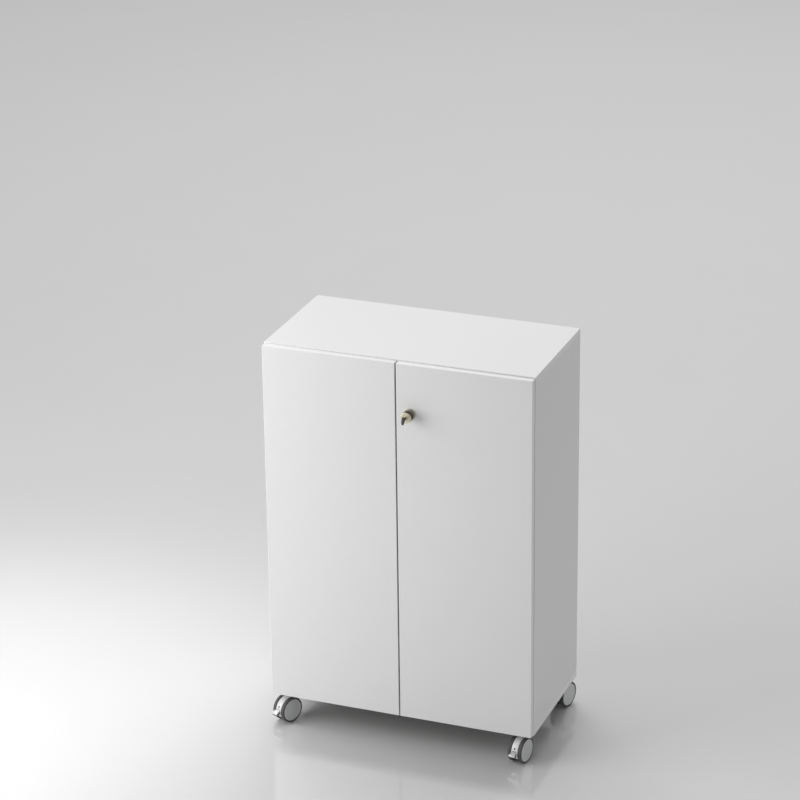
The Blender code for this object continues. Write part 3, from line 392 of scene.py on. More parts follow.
def pin(radius, low, high, axis="Z", steps=SMALL):
    return turned([(0.0, low), (radius, low), (radius, high), (0.0, high)], axis, steps)


def spun(bm, turn, axis):
    bmesh.ops.rotate(bm, verts=bm.verts, cent=(0, 0, 0), matrix=Matrix.Rotation(turn, 3, axis))
    return bm


def moved(bm, vec):
    bmesh.ops.translate(bm, vec=vec, verts=bm.verts)
    return bm


def placed(bm, matrix):
    """The shape taken to its place, turned right side out if the place mirrors it."""
    bmesh.ops.transform(bm, matrix=matrix, verts=bm.verts)
    if matrix.determinant() < 0:
        bmesh.ops.reverse_faces(bm, faces=bm.faces)
    return bm


def gathered(shapes):
    """Several separate shapes as one."""
    whole = bmesh.new()
    for bm in shapes:
        mesh = mesh_of(bm, "gather")
        whole.from_mesh(mesh)
        bpy.data.meshes.remove(mesh)
    return whole


def fused(first, joins=(), cuts=()):
    """One closed shape with others joined to it and then others cut from it."""
    base = linked("helper", mesh_of(first, "helper"))
    helpers = [base]
    for operation, shapes in (("UNION", joins), ("DIFFERENCE", cuts)):
        for shape in shapes:
            tool = linked("helper", mesh_of(shape, "helper"))
            helpers.append(tool)
            step = base.modifiers.new(operation, "BOOLEAN")
            step.operation = operation
            step.solver = "EXACT"
            step.object = tool
    graph = bpy.context.evaluated_depsgraph_get()
    mesh = bpy.data.meshes.new_from_object(base.evaluated_get(graph))
    bm = bmesh.new()
    bm.from_mesh(mesh)
    bpy.data.meshes.remove(mesh)
    bmesh.ops.remove_doubles(bm, verts=bm.verts, dist=FUSE_MERGE)
    for obj in helpers:
        data = obj.data
        bpy.data.objects.remove(obj)
        bpy.data.meshes.remove(data)
    return bm


def piece(name, bm, body, slot, finishes, *replaced):
    """A finished piece at the origin, riding on its body; its finishes are named in one string."""
    mesh = mesh_of(bm, name)
    mesh.shade_smooth()
    mesh.set_sharp_from_angle(angle=SHARP)
    for finish in finishes.split():
        mesh.materials.append(FINISHES[finish])
    obj = linked(name, mesh)
    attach(obj, body)
    if replaced:
        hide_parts(*replaced)


def dress_node(name, finish, edge=0.0):
    """Keeps a CAD node, with a better finish and softened edges."""
    obj = frame["nodes"][name]
    obj.data.materials.clear()
    obj.data.materials.append(FINISHES[finish])
    weld = obj.modifiers.new("Weld", "WELD")
    weld.merge_threshold = NODE_MERGE
    if edge:
        soften = obj.modifiers.new("Edges", "BEVEL")
        soften.width = edge
        soften.segments = 2
        soften.limit_method = "ANGLE"
        soften.angle_limit = SHARP


def screw_head(radius, height):
    """A screw's domed head with a cross recess, its top along +Z at the height."""
    shoulder, crown = (radius * 0.96, height * 0.45), (radius * 0.6, height * 0.9)
    slot, reach, deep = radius * 0.16, radius * 0.62, height * 0.35
    dome = turned([(0.0, 0.0), (radius, 0.0), shoulder, crown, (0.0, height)], steps=TINY)
    bars = [box((-x, -y, deep), (x, y, 2 * height)) for x, y in ((slot, reach), (reach, slot))]
    return fused(dome, cuts=bars)


def screws(kind, places):
    """Screw heads at several places, each a point and the way that its head faces."""
    heads = []
    for point, way in places:
        turn = Vector(way).to_track_quat("Z", "Y").to_matrix().to_4x4()
        turn.translation = point
        heads.append(placed(screw_head(*SCREWS[kind]), turn))
    return gathered(heads)


# Finishes


class Finish:
    """A material with a Principled shader and short ways to add nodes."""

    def __init__(self, name):
        self.material = bpy.data.materials.new(name)
        self.material.use_nodes = True
        self.tree = self.material.node_tree
        self.shader = self.tree.nodes["Principled BSDF"]

    def add(self, kind, **values):
        node = self.tree.nodes.new(kind)
        for key, value in values.items():
            setattr(node, key, value)
        return node

    def group(self, name, **values):
        made = self.add("ShaderNodeGroup", node_tree=bpy.data.node_groups[name])
        for key, value in values.items():
            made.inputs[key].default_value = value
        return made.outputs

    def link(self, output, socket):
        self.tree.links.new(output, socket)

    def set(self, **values):
        for key, value in values.items():
            self.shader.inputs[key].default_value = value

    def between(self, factor, first, second):
        """Mixes two colours by a factor into the shader's colour."""
        mix = self.add("ShaderNodeMix", data_type="RGBA")
        mix.inputs[COLOUR_A].default_value = (*first, 1.0)
        mix.inputs[COLOUR_B].default_value = (*second, 1.0)
        self.link(factor, mix.inputs[0])
        self.link(mix.outputs[COLOUR_OUT], self.shader.inputs["Base Color"])

    def gloss(self, factor, low, high):
        """Maps a factor of 0 to 1 onto a range of roughness."""
        ramp = self.add("ShaderNodeMapRange")
        ramp.inputs["To Min"].default_value = low
        ramp.inputs["To Max"].default_value = high
        self.link(factor, ramp.inputs["Value"])
        self.link(ramp.outputs["Result"], self.shader.inputs["Roughness"])

    def bump(self, height, depth):
        node = self.add("ShaderNodeBump")
        node.inputs["Distance"].default_value = depth
        self.link(height, node.inputs["Height"])
        self.link(node.outputs["Normal"], self.shader.inputs["Normal"])


def effect(name, inputs, outputs):
    """An empty shader group with float inputs, given with their defaults, and float outputs."""
    tree = bpy.data.node_groups.new(name, "ShaderNodeTree")
    for label, value in inputs.items():
        socket = tree.interface.new_socket(label, in_out="INPUT", socket_type="NodeSocketFloat")
        socket.default_value = value
    for label in outputs:
        tree.interface.new_socket(label, in_out="OUTPUT", socket_type="NodeSocketFloat")
    return tree, tree.nodes.new("NodeGroupInput"), tree.nodes.new("NodeGroupOutput")


def noise(tree, vector, detail, result):
    """A noise texture in a group, from its vector to the group's output."""
    node = tree.nodes.new("ShaderNodeTexNoise")
    node.inputs["Detail"].default_value = detail
    tree.links.new(vector, node.inputs["Vector"])
    tree.links.new(node.outputs["Fac"], result)
    return node.inputs["Scale"]


def grain_effect():
    """Even fine grain, as on coated board or moulded plastic, with a broad cloudy mask."""
    tree, given, made = effect("fine_grain", {"Scale": 900.0, "Cloud Scale": 3.0}, ("Grain", "Cloud"))
    place = tree.nodes.new("ShaderNodeTexCoord").outputs["Object"]
    for scale, label, detail in (("Scale", "Grain", 3.0), ("Cloud Scale", "Cloud", 2.0)):
        tree.links.new(given.outputs[scale], noise(tree, place, detail, made.inputs[label]))


def brush_effect():
    """Fine lines along one direction, as left by rolling or turning."""
    tree, given, made = effect("brush_lines", {"Across": 2500.0, "Along": 60.0}, ("Lines", "Patches"))
    place = tree.nodes.new("ShaderNodeTexCoord").outputs["Object"]
    stretch = tree.nodes.new("ShaderNodeCombineXYZ")
    for label, axis in (("Across", "X"), ("Across", "Y"), ("Along", "Z")):
        tree.links.new(given.outputs[label], stretch.inputs[axis])
    scale = tree.nodes.new("ShaderNodeVectorMath")
    scale.operation = "MULTIPLY"
    tree.links.new(place, scale.inputs[0])
    tree.links.new(stretch.outputs["Vector"], scale.inputs[1])
    noise(tree, scale.outputs["Vector"], 2.0, made.inputs["Lines"]).default_value = 1.0
    tree.links.new(given.outputs["Along"], noise(tree, place, 3.0, made.inputs["Patches"]))


def shade(tone, factor):
    return tuple(max(0.0, min(1.0, c * factor)) for c in tone)


def coated(name, tone, rough, depth, scale, spread):
    """Coated board, lacquer or moulded plastic: fine grain with slightly uneven gloss."""
    finish = Finish(name)
    marks = finish.group("fine_grain", Scale=scale)
    finish.between(marks["Cloud"], shade(tone, 1 - spread), shade(tone, 1 + spread))
    finish.gloss(marks["Cloud"], rough - COAT_GLOSS, rough + COAT_GLOSS)
    finish.bump(marks["Grain"], depth)
    return finish.material


def plated(name, tone, rough, across=2500.0, along=60.0, spread=0.08, metal=1.0):
    """Plated metal with rolling lines and uneven patches."""
    finish = Finish(name)
    marks = finish.group("brush_lines", Across=across, Along=along)
    finish.between(marks["Patches"], shade(tone, 1 - spread), shade(tone, 1 + spread))
    finish.gloss(marks["Lines"], rough - PLATE_SHINE, rough + PLATE_DULL)
    finish.bump(marks["Lines"], BRUSH_DEPTH)
    finish.set(Metallic=metal)
    return finish.material


def flaked(name, tone):
    """Pressed wood flakes inside a drilled hole."""
    finish = Finish(name)
    place = finish.add("ShaderNodeTexCoord")
    flakes = finish.add("ShaderNodeTexVoronoi")
    flakes.inputs["Scale"].default_value = FLAKE_SCALE
    finish.link(place.outputs["Object"], flakes.inputs["Vector"])
    finish.between(flakes.outputs["Distance"], shade(tone, 0.55), shade(tone, 1.25))
    finish.bump(flakes.outputs["Distance"], FLAKE_DEPTH)
    finish.set(Roughness=0.9)
    return finish.material


FINISHES = {}


def make_finishes(context):
    """Every finish of the cupboard, by name."""
    scene = context.scene
    grain_effect()
    brush_effect()
    boards, castors = scene.cupboard_boards, scene.cupboard_castors
    lock, steel = scene.cupboard_lock, scene.cupboard_hinges.steel
    FINISHES.update(
        face=coated("white_coated_board", boards.face, 0.42, 0.00003, 1400.0, 0.012),
        band=coated("white_edge_band", boards.banding, 0.34, 0.00002, 600.0, 0.015),
        back=coated("white_lacquered_back", shade(boards.face, 0.95), 0.5, 0.00006, 420.0, 0.02),
        core=flaked("chipboard_core", boards.core),
        # Painted shade: grey finish that darkens the gap between the doors.
        meeting=coated("painted_gap_shade_band", boards.meeting, 0.45, 0.00002, 600.0, 0.02),
        # Painted shade: dark finish for the base's underside, deepening the floor's shadow.
        backing=coated("painted_shade_backing", boards.backing, 0.6, 0.00008, 300.0, 0.08),
        cap=coated("white_plastic_cap", shade(boards.face, 0.97), 0.5, 0.00004, 700.0, 0.02),
        nickel=plated("nickel_plated_steel", steel, 0.28),
        zinc=plated("zinc_plated_steel", shade(steel, 0.85), 0.42, 900.0, 140.0, 0.16),
        brass=plated("pale_plated_knob", lock.brass, 0.30, 3000.0, 90.0, 0.10, 0.5),
        knob_side=plated("dark_knob_side", lock.side, 0.32, 3000.0, 90.0, 0.20),
        knob_neck=plated("dull_knob_neck", lock.neck, 0.34, 3000.0, 90.0, 0.15, 0.6),
        olive=plated("olive_plated_rosette", lock.olive, 0.34, 3000.0, 90.0, 0.10, 0.6),
        key=plated("dark_plated_key", lock.dark, 0.36, 1800.0, 200.0, 0.25),
        plastic=coated("grey_moulded_plastic", PLASTIC, 0.46, 0.00006, 800.0, 0.03),
        tread=coated("soft_grey_tread", castors.tread, 0.62, 0.00010, 500.0, 0.12),
        disc=coated("grey_wheel_disc", castors.disc_grey, 0.40, 0.00005, 900.0, 0.04),
        rim=coated("pale_wheel_rim", shade(castors.disc_grey, 1.2), 0.36, 0.00004, 900.0, 0.04),
        hood=coated("silver_white_hood", castors.hood_white, 0.30, 0.00004, 700.0, 0.03),
        pedal=plated("bright_plated_pedal", castors.pedal, 0.30, metal=0.5),
        # Black finish of the pedal pads; on the walls of the hoods' rivet holes it is painted shade.
        rubber=coated("black_rubber_and_hole_shade", RUBBER_AND_HOLE_SHADE, 0.68, 0.00012, 600.0, 0.2),
        clear=coated("soft_clear_bumper", CLEAR, 0.22, 0.00002, 900.0, 0.03),
    )


# Boards


def inner_face(side):
    """Where a side board's inner face stands, along X."""
    low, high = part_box(f"{side}_side")
    return high.x if side == "left" else low.x


def banded(bm, axis, band):
    """Gives a board its faces and edge bands, with a line of band inside the broad faces."""
    index = "XYZ".index(axis)
    bm.normal_update()
    broad = [f for f in bm.faces if abs(f.normal[index]) > FLAT]
    for face in bm.faces:
        face.material_index = BAND
    inset = bmesh.ops.inset_region(bm, faces=broad, thickness=band, use_even_offset=True)
    for face in broad:
        face.material_index = FACE
    for face in inset["faces"]:
        face.material_index = BAND
    return bm


def paint_shade_underside(bm):
    """Gives the underside of a board a dark finish: painted shade that deepens the floor's shadow under the
    cupboard.
    """
    for face in bm.faces:
        if face.normal.z < -FLAT and face.material_index == FACE:
            face.material_index = SHADE_BACKING


def paint_gap_shade(bm, side):
    """Greys the edge of a door that meets the other: painted shade that darkens the gap between the doors."""
    bm.normal_update()
    for face in bm.faces:
        if face.normal.x * INWARD[side] > FLAT:
            face.material_index = GAP_SHADE


def drilled(bm, drills):
    """Cuts the drills out of a board; the walls they leave show the board's core."""
    for drill in drills:
        for face in drill.faces:
            face.material_index = CORE
    return fused(bm, cuts=[gathered(drills)])


def side_drills(side, s):
    """Two rows of pin holes above the fixed shelf, in step with the pins."""
    pin_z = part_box("left_front_shelf_pin")[1].z - s.pin_radius
    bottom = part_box("fixed_shelf")[1].z + s.row_margin
    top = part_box("top_panel")[0].z - s.row_margin
    first = pin_z - s.row_pitch * math.floor((pin_z - bottom) / s.row_pitch)
    count = int((top - first) / s.row_pitch) + 1
    inner, way, start = inner_face(side), -INWARD[side], 0.002
    span = sorted((inner - way * start, inner + way * s.row_depth))
    drills = []
    for depth, i in product(DEPTHS, range(count)):
        y = centre_of(f"left_{depth}_shelf_pin")[1]
        drills.append(moved(pin(s.row_hole, *span, "X", HOLE), (0.0, y, first + i * s.row_pitch)))
    return drills


def door_drills(side, hinges, lock):
    """Three cup holes and, on the right door, the hole for the knob's spindle."""
    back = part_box(f"{side}_door")[1].y
    x = joint_place(f"{side}_door_hinge").x + INWARD[side] * hinges.cup_offset
    drills = []
    for hinge in HINGES:
        hole = pin(hinges.hole_radius, -OVERSHOOT, hinges.hole_depth, "-Y", MID)
        drills.append(moved(hole, (x, back, centre_of(f"{side}_{hinge}_hinge_cup")[2])))
    if side == "right":
        through = 0.03
        drills.append(moved(pin(lock.spindle * BORE_PLAY, -through, through, "-Y"), joint_place("knob_turn")))
    return drills


class CUPBOARD_OT_boards(bpy.types.Operator):
    """Models the coated boards with edge bands, drilled holes and rounded edges."""

    bl_idname = "cupboard.boards"
    bl_label = "Boards"

    def execute(self, context):
        scene = context.scene
        s = scene.cupboard_boards
        for node in ("top_panel", "base_panel", "fixed_shelf", "adjustable_shelf"):
            bm = banded(box(*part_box(node), s.edge), "Z", s.band)
            # Painted shade: the base's underside is made dark.
            if node == "base_panel":
                paint_shade_underside(bm)
            piece(f"{node}_board", bm, "carcass", "white_board", BOARD_LOOKS, node)
        for side in INWARD:
            board, door = f"{side}_side", f"{side}_door"
            bm = banded(box(*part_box(board), s.edge), "X", s.band)
            bm = drilled(bm, side_drills(side, s))
            piece(f"{board}_board", bm, "carcass", "white_board", BOARD_LOOKS, board)
            bm = banded(box(*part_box(door), s.door_edge, 5), "Y", s.band)
            # Painted shade: the meeting edge is greyed to darken the gap.
            paint_gap_shade(bm, side)
            bm = drilled(bm, door_drills(side, scene.cupboard_hinges, scene.cupboard_lock))
            piece(f"{door}_leaf", bm, door, "white_board", BOARD_LOOKS, door)
        self.back()
        return {"FINISHED"}

    def back(self):
        """The visible field of the grooved back panel."""
        low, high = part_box("back_panel")
        low.x, high.x = inner_face("left"), inner_face("right")
        low.z, high.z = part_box("base_panel")[1].z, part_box("top_panel")[0].z
        piece("back_field", box(low, high, FINE_EDGE, 1), "carcass", "white_back", "back", "back_panel")


# Hinges


def hinge_place(side, z):
    """From hinge coordinates (x into the door, y back, z up, from the pin) to the frame."""
    pos = joint_place(f"{side}_door_hinge")
    place = mirrored(INWARD[side])
    place.translation = (pos.x, pos.y, z)
    return place


def cup_shape(s):
    """The cup with its flange, its bar of screw ears and the pin across it."""
    seat, top = s.pin_depth + s.gap, s.gap + s.flange
    middle = (s.cup_offset, s.pin_depth, 0.0)
    wall = pin(s.cup_radius, s.cup_depth, -top * 0.6, "-Y", MID)
    shell = moved(rounded(wall, TIP, 2, BLUNT), middle)
    chord = 180 - math.degrees(math.acos((s.cup_radius - s.cup_wall / 4) / s.flange_radius))
    flange = arc((s.cup_offset, 0.0), s.flange_radius, -chord, chord, BOW)
    flange = prism(flange, seat, s.pin_depth + top, "Y", FINE_EDGE)
    ears = plate_outline(s.ear_width, s.ear_half, s.ear_width * 0.9)
    ears = [(x + s.cup_offset + s.ear_offset, z) for x, z in ears]
    step = s.flange * 0.2
    bar = prism(ears, seat + step, s.pin_depth + top + step, "Y", FINE_EDGE)
    mouth = moved(pin(s.cup_radius - s.cup_wall, -OVERSHOOT, s.cup_floor, "-Y", MID), middle)
    cup = fused(shell, joins=[flange, bar], cuts=[mouth])
    half = math.sqrt((s.cup_radius - s.cup_wall / 2) ** 2 - (s.cup_offset + s.pin_radius) ** 2)
    return fused(cup, joins=[pin(s.pin_radius, -half, half, "Z", TINY)])


def arm_shape(s, front, board):
    """The arm in hinge coordinates; front and board are the carcass front's and side's places there."""
    half = s.neck / 2
    leave = math.degrees(math.asin(half / s.knuckle))
    start = front + s.arm_start
    outline = arc((0.0, 0.0), s.knuckle, leave, 360 - leave, 24)
    outline += arc((s.neck_reach, 0.0), half, -90, 0, CORNER)
    outline += [(s.neck_reach + half, start + half), (s.neck_reach - half, start + half)]
    outline += [(s.neck_reach - half, half)]
    neck = prism(outline, -s.neck_half, s.neck_half, "Z", FINE_EDGE, sharp=BLUNT)
    seat = board + s.gap
    low, high = seat + s.wing / 2, seat + s.wing + s.arm
    channel_edge = 0.0018
    channel = box((low, start, -s.arm_half), (high, start + s.arm_length, s.arm_half), channel_edge, 4)
    middle = front + s.wing_setback
    wing = [(y + middle, z) for y, z in plate_outline(s.wing_half, s.wing_reach, s.wing_half * 0.6)]
    wing = prism(wing, seat, seat + s.wing, "X", SHEET_EDGE)
    slot_start, slot_end, slot_half, slot_depth, slot_edge = 0.012, 0.024, 0.0017, 0.0012, 0.0004
    slot_low = (high - slot_depth, start + slot_start, -slot_half)
    slot = box(slot_low, (high + OVERSHOOT, start + slot_end, slot_half), slot_edge, 2)
    well_radius, well_depth = 0.0042, 0.0028
    well = moved(pin(well_radius, high - well_depth, high + OVERSHOOT, "X"), (0.0, middle, 0.0))
    bore = pin(s.pin_radius + s.gap, -2 * OVERSHOOT, 2 * OVERSHOOT, "Z", TINY)
    return fused(neck, joins=[channel, wing], cuts=[slot, well, bore])


class CUPBOARD_OT_hinges(bpy.types.Operator):
    """Models the concealed hinges with cup, flange, arm, plate and screws."""

    bl_idname = "cupboard.hinges"
    bl_label = "Hinges"

    def execute(self, context):
        s = context.scene.cupboard_hinges
        for side in INWARD:
            pos = joint_place(f"{side}_door_hinge")
            low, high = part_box(f"{side}_side")
            front = low.y - pos.y
            board = abs(pos.x) - min(abs(low.x), abs(high.x))
            door = f"{side}_door"
            for hinge in HINGES:
                name = f"{side}_{hinge}_hinge"
                place = hinge_place(side, centre_of(f"{name}_cup")[2])
                cup = placed(cup_shape(s), place)
                piece(f"{name}_cup_pressing", cup, door, "bright_steel", "nickel", f"{name}_cup")
                arm = placed(arm_shape(s, front, board), place)
                piece(f"{name}_arm_pressing", arm, "carcass", "bright_steel", "nickel", f"{name}_arm")
                self.fix(name, door, s, place, front, board)
        return {"FINISHED"}

    def fix(self, name, door, s, place, front, board):
        """Screws in the ears of the cup, the wings of the plate and the well of the arm."""
        ear_y = s.pin_depth + s.gap + s.flange * 1.15
        ear_z = s.ear_half - s.ear_width
        ears = [((s.cup_offset + s.ear_offset, ear_y, way * ear_z), (0, 1, 0)) for way in (-1, 1)]
        piece(f"{name}_cup_screws", placed(screws("cup", ears), place), door, "zinc", "zinc")
        inset, sunk = 0.007, 0.003
        wing_x = board + s.gap + s.wing * 0.95
        wing_y, wing_z = front + s.wing_setback, s.wing_reach - inset
        heads = [((wing_x, wing_y, way * wing_z), (1, 0, 0)) for way in (-1, 1)]
        heads.append(((board + s.gap + s.wing + s.arm - sunk, wing_y, 0.0), (1, 0, 0)))
        piece(f"{name}_arm_screws", placed(screws("arm", heads), place), "carcass", "zinc", "zinc")


# Lock


def groove(radius, depth, start, width):
    """Profile points of one turned groove."""
    low = radius - depth
    return [(radius, start), (low, start + width * 0.25), (low, start + width * 0.75), (radius, start + width)]


class CUPBOARD_OT_lock(bpy.types.Operator):
    """Models the rosette, knob, plug, key, case, rods, guides and bolt, and finishes the strikes."""

    bl_idname = "cupboard.lock"
    bl_label = "Lock"

    def execute(self, context):
        s = context.scene.cupboard_lock
        centre = joint_place("knob_turn")
        rosette, knob, plug, key = (
            moved(shape, centre) for shape in (self.rosette(s), self.knob(s), self.plug(s), self.key(s))
        )
        piece("lock_rosette_turned", rosette, "right_door", "nickel", "olive", "lock_rosette")
        piece("lock_knob_turned", knob, "lock_knob", "nickel", "brass knob_side knob_neck", "lock_knob")
        piece("lock_plug_turned", plug, "lock_plug", "nickel", "brass", "lock_plug")
        piece("lock_key_cut", key, "lock_key", "dark_metal", "key", "lock_key")
        self.works(s)
        return {"FINISHED"}

    def rosette(self, s):
        lip, sunk = s.rosette_height * 0.3, s.rosette_height - 0.0004
        bore = s.spindle * BORE_PLAY
        profile = [
            (bore, SEAT),
            (s.rosette, SEAT),
            *arc((s.rosette - lip, s.rosette_height - lip), lip, 0, 90, CORNER),
            (s.rosette * 0.86, s.rosette_height),
            (s.rosette * 0.84, sunk),
            (bore, sunk),
        ]
        return turned(profile, "-Y", WIDE, ring=True)

    def knob(self, s):
        """A waisted knob with two turned grooves, a soft rim and a dished face round the plug."""
        rim, face = s.knob_rim, s.knob_face
        low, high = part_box("right_door")
        reach, play, dish = 0.0075, 0.0004, 0.0005
        back = -(high.y - low.y) - reach
        bore, floor = s.plug + play, face - s.plug_length - SEAT
        waist = s.knob_back + (face - s.knob_back) * 0.35
        deep, wide = 0.0007, 0.0022
        profile = [
            (0.0, back),
            (s.spindle, back),
            (s.spindle, s.knob_back),
            (s.knob_neck - TIP, s.knob_back),
            (s.knob_neck, s.knob_back + TIP),
            (s.knob, waist),
            *groove(s.knob, deep, waist + 0.0035, wide),
            *groove(s.knob, deep, waist + 0.0080, wide),
            *arc((s.knob - rim, face - rim), rim, 0, 90, CORNER),
            (s.knob * 0.80, face),
            (s.knob * 0.78, face - dish),
            (bore + 0.0009, face - dish),
            (bore + TIP, face),
            (bore, face),
            (bore, floor),
            (0.0, floor),
        ]
        bm = turned(profile, "-Y", WIDE)
        for part in bm.faces:
            height = -part.calc_center_median().y
            part.material_index = 0 if height > face - rim / 2 else 1 if height > waist else 2
        return bm

    def plug(self, s):
        edge, face = 0.0004, s.knob_face
        low = face - s.plug_length
        profile = [(0.0, low), (s.plug, low), (s.plug, face - edge), (s.plug - edge, face), (0.0, face)]
        half, high = s.key / 2 + SEAT, s.blade + SEAT
        slot = box((-half, -2 * face, -high), (half, -(face - s.blade_length - SEAT), high))
        return fused(turned(profile, "-Y", MID), cuts=[slot])

    def key(self, s):
        """A flat key with a dished bow, a ring hole and cut bitting."""
        bow = s.knob_face + s.key_neck + s.bow
        end = s.knob_face - s.blade_length
        shoulder = s.knob_face + SEAT
        tip, bare = 0.002, 0.003
        leave = math.degrees(math.asin(s.blade / s.bow))
        outline = [(-end, s.blade * 0.6), (-end, -s.blade * 0.2), (-end - tip, -s.blade)]
        outline += [(-shoulder, -s.blade)]
        outline += arc((-bow, 0.0), s.bow, -leave, leave - 360, BOW)
        outline += [(-shoulder, s.blade)]
        pitch = (shoulder - end - bare) / len(BITTING)
        for i, deep in enumerate(BITTING):
            y, low = -shoulder + (i + 0.5) * pitch, s.blade - deep
            outline += [(y, s.blade), (y + pitch * 0.3, low), (y + pitch * 0.5, low)]
        edge, dish, ring, ring_inset = 0.00025, 0.00035, 0.0022, 0.0066
        blank = prism(outline, -s.key / 2, s.key / 2, "X", edge)
        cuts = []
        for side in (-1, 1):
            cuts.append(moved(pin(s.bow * 0.74, -dish, dish, "X", BOW), (side * s.key / 2, -bow, 0.0)))
        hole = pin(ring, -OVERSHOOT, OVERSHOOT, "X", SMALL)
        cuts.append(moved(hole, (0.0, -(bow + s.bow - ring_inset), 0.0)))
        return fused(blank, cuts=cuts)

    def works(self, s):
        """The strikes keep their CAD shapes; the guides, rods, bolt and case are made smooth."""
        for node in ("upper_strike", "lower_strike"):
            dress_node(node, "zinc", FINE_EDGE)
        for node in ("upper_rod_guide", "lower_rod_guide", "left_bolt_case"):
            body = "left_door" if node == "left_bolt_case" else "right_door"
            piece(f"{node}_moulding", self.guide(s, node), body, "grey_plastic", "plastic", node)
        for node in ("upper_lock_rod", "lower_lock_rod", "left_bolt"):
            piece(f"{node}_bar", self.bar(s, node), node, "bright_steel", "nickel", node)
        self.case(s)

    def channel(self, s, low, high):
        """A cutter for a rod's bore through a piece."""
        return pin(s.rod + s.rod_play, low.z - OVERSHOOT, high.z + OVERSHOOT, "Z", SMALL)

    def guide(self, s, node):
        """A moulded guide with a round nose and a bore for its rod."""
        low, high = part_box(node)
        nose = (high.x - low.x) / 2
        centre = (low.x + nose, high.y - nose)
        outline = [(high.x, low.y), *arc(centre, nose, 0, 180, 28), (low.x, low.y)]
        block = prism(outline, low.z, high.z, "Z", MOULDED_EDGE, 3)
        return fused(block, cuts=[moved(self.channel(s, low, high), (*centre, 0.0))])

    def bar(self, s, node):
        """A rod with chamfered ends; the hand bolt has a grooved knob at its foot."""
        low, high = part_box(node)
        tip, foot = s.rod_tip, s.rod
        knob = []
        if node == "left_bolt":
            foot = (high.x - low.x) / 2
            top = low.z + s.bolt_knob
            knob = groove(foot, TIP, low.z + s.bolt_knob * 0.35, s.bolt_knob * 0.3)
            knob += [(foot, top - tip), (foot - tip, top), (s.rod, top)]
        profile = [(0.0, low.z), (foot - tip, low.z), (foot, low.z + tip), *knob]
        profile += [(s.rod, high.z - tip), (s.rod - tip, high.z), (0.0, high.z)]
        x, y, _ = centre_of(node)
        return moved(turned(profile, "Z", SMALL), (x, y, 0.0))

    def case(self, s):
        """A pressed case with bores for the rods and the spindle, a lid and four screws."""
        low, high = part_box("lock_case")
        x, y, _ = centre_of("upper_lock_rod")
        knob = joint_place("knob_turn")
        deep, margin, inset, lid_edge = 0.0078, 0.004, 0.007, 0.0004
        spindle = pin(s.spindle * BORE_PLAY, -deep, OVERSHOOT, "-Y", SMALL)
        bores = [moved(self.channel(s, low, high), (x, y, 0.0)), moved(spindle, (knob.x, low.y, knob.z))]
        shell = fused(box(low, high, s.case_edge, 5), cuts=bores)
        piece("lock_case_pressing", shell, "right_door", "zinc", "zinc", "lock_case")
        lid_low = (low.x + margin, high.y - 0.0002, low.z + margin)
        lid = box(lid_low, (high.x - margin, high.y + 0.0008, high.z - margin), lid_edge, 2)
        piece("lock_case_lid", lid, "right_door", "zinc", "zinc")
        corners = product((low.x + inset, high.x - inset), (low.z + inset, high.z - inset))
        heads = screws("case", [((x, high.y + 0.0007, z), (0, 1, 0)) for x, z in corners])
        piece("lock_case_screws", heads, "right_door", "bright_steel", "nickel")


# Castors


def castor_place(name):
    """From castor coordinates (x along the axle, z up, from the floor under the swivel) to the frame."""
    along = Vector(JOINTS[f"{name}_left_wheel_spin"]["axis"]).normalized()
    up = Vector((0.0, 0.0, 1.0))
    place = Matrix((along, up.cross(along), up)).transposed().to_4x4()
    pos = joint_place(f"{name}_swivel")
    place.translation = (pos.x, pos.y, 0.0)
    return place


def wheel_shapes(s, radius):
    """Tread and disc of a wheel, turned about X from its inner face."""
    wall, bend, soft, snug = radius - s.wall, s.shoulder, TIP, 0.0002
    seat, face = s.width - 0.0026, s.width - 0.0014
    tread = [
        (wall, SEAT),
        *arc((radius - bend, bend + SEAT), bend, -90, 0, CORNER),
        *arc((radius - bend, s.width - bend), bend, 0, 90, CORNER),
        (s.disc + 0.0017, s.width),
        (s.disc + 0.0015, seat),
        (wall, seat),
    ]
    disc = [
        (0.0, s.axle_depth),
        (s.axle, s.axle_depth),
        (s.axle, 0.0),
        (s.boss, 0.0),
        (s.boss + soft, s.recess),
        (wall - snug, s.recess),
        (wall - snug, seat + SEAT),
        (s.disc + 2 * soft, seat + SEAT),
        (s.disc + 2 * soft, s.width - soft),
        (s.disc + soft, s.width),
        (s.disc - soft, s.width),
        (s.disc - 0.0014, face),
        (s.disc * 0.5, face - 0.0001),
        (0.0, face),
    ]
    start, half = 0.002, 0.0007
    ribs = []
    for i in range(s.ribs):
        rib = box((start, s.boss - 0.0005, -half), (s.recess + snug, wall, half))
        ribs.append(spun(rib, math.tau * i / s.ribs, "X"))
    return turned(tread, "X", WIDE, ring=True), fused(turned(disc, "X", WIDE), joins=ribs)


def mark_rim(bm, s):
    """The raised ring of the disc takes the paler finish."""
    inside, below = s.disc - 0.0015, s.width - 0.0016
    for face in bm.faces:
        centre = face.calc_center_median()
        face.material_index = int(math.hypot(centre.y, centre.z) > inside and centre.x > below)
    return bm


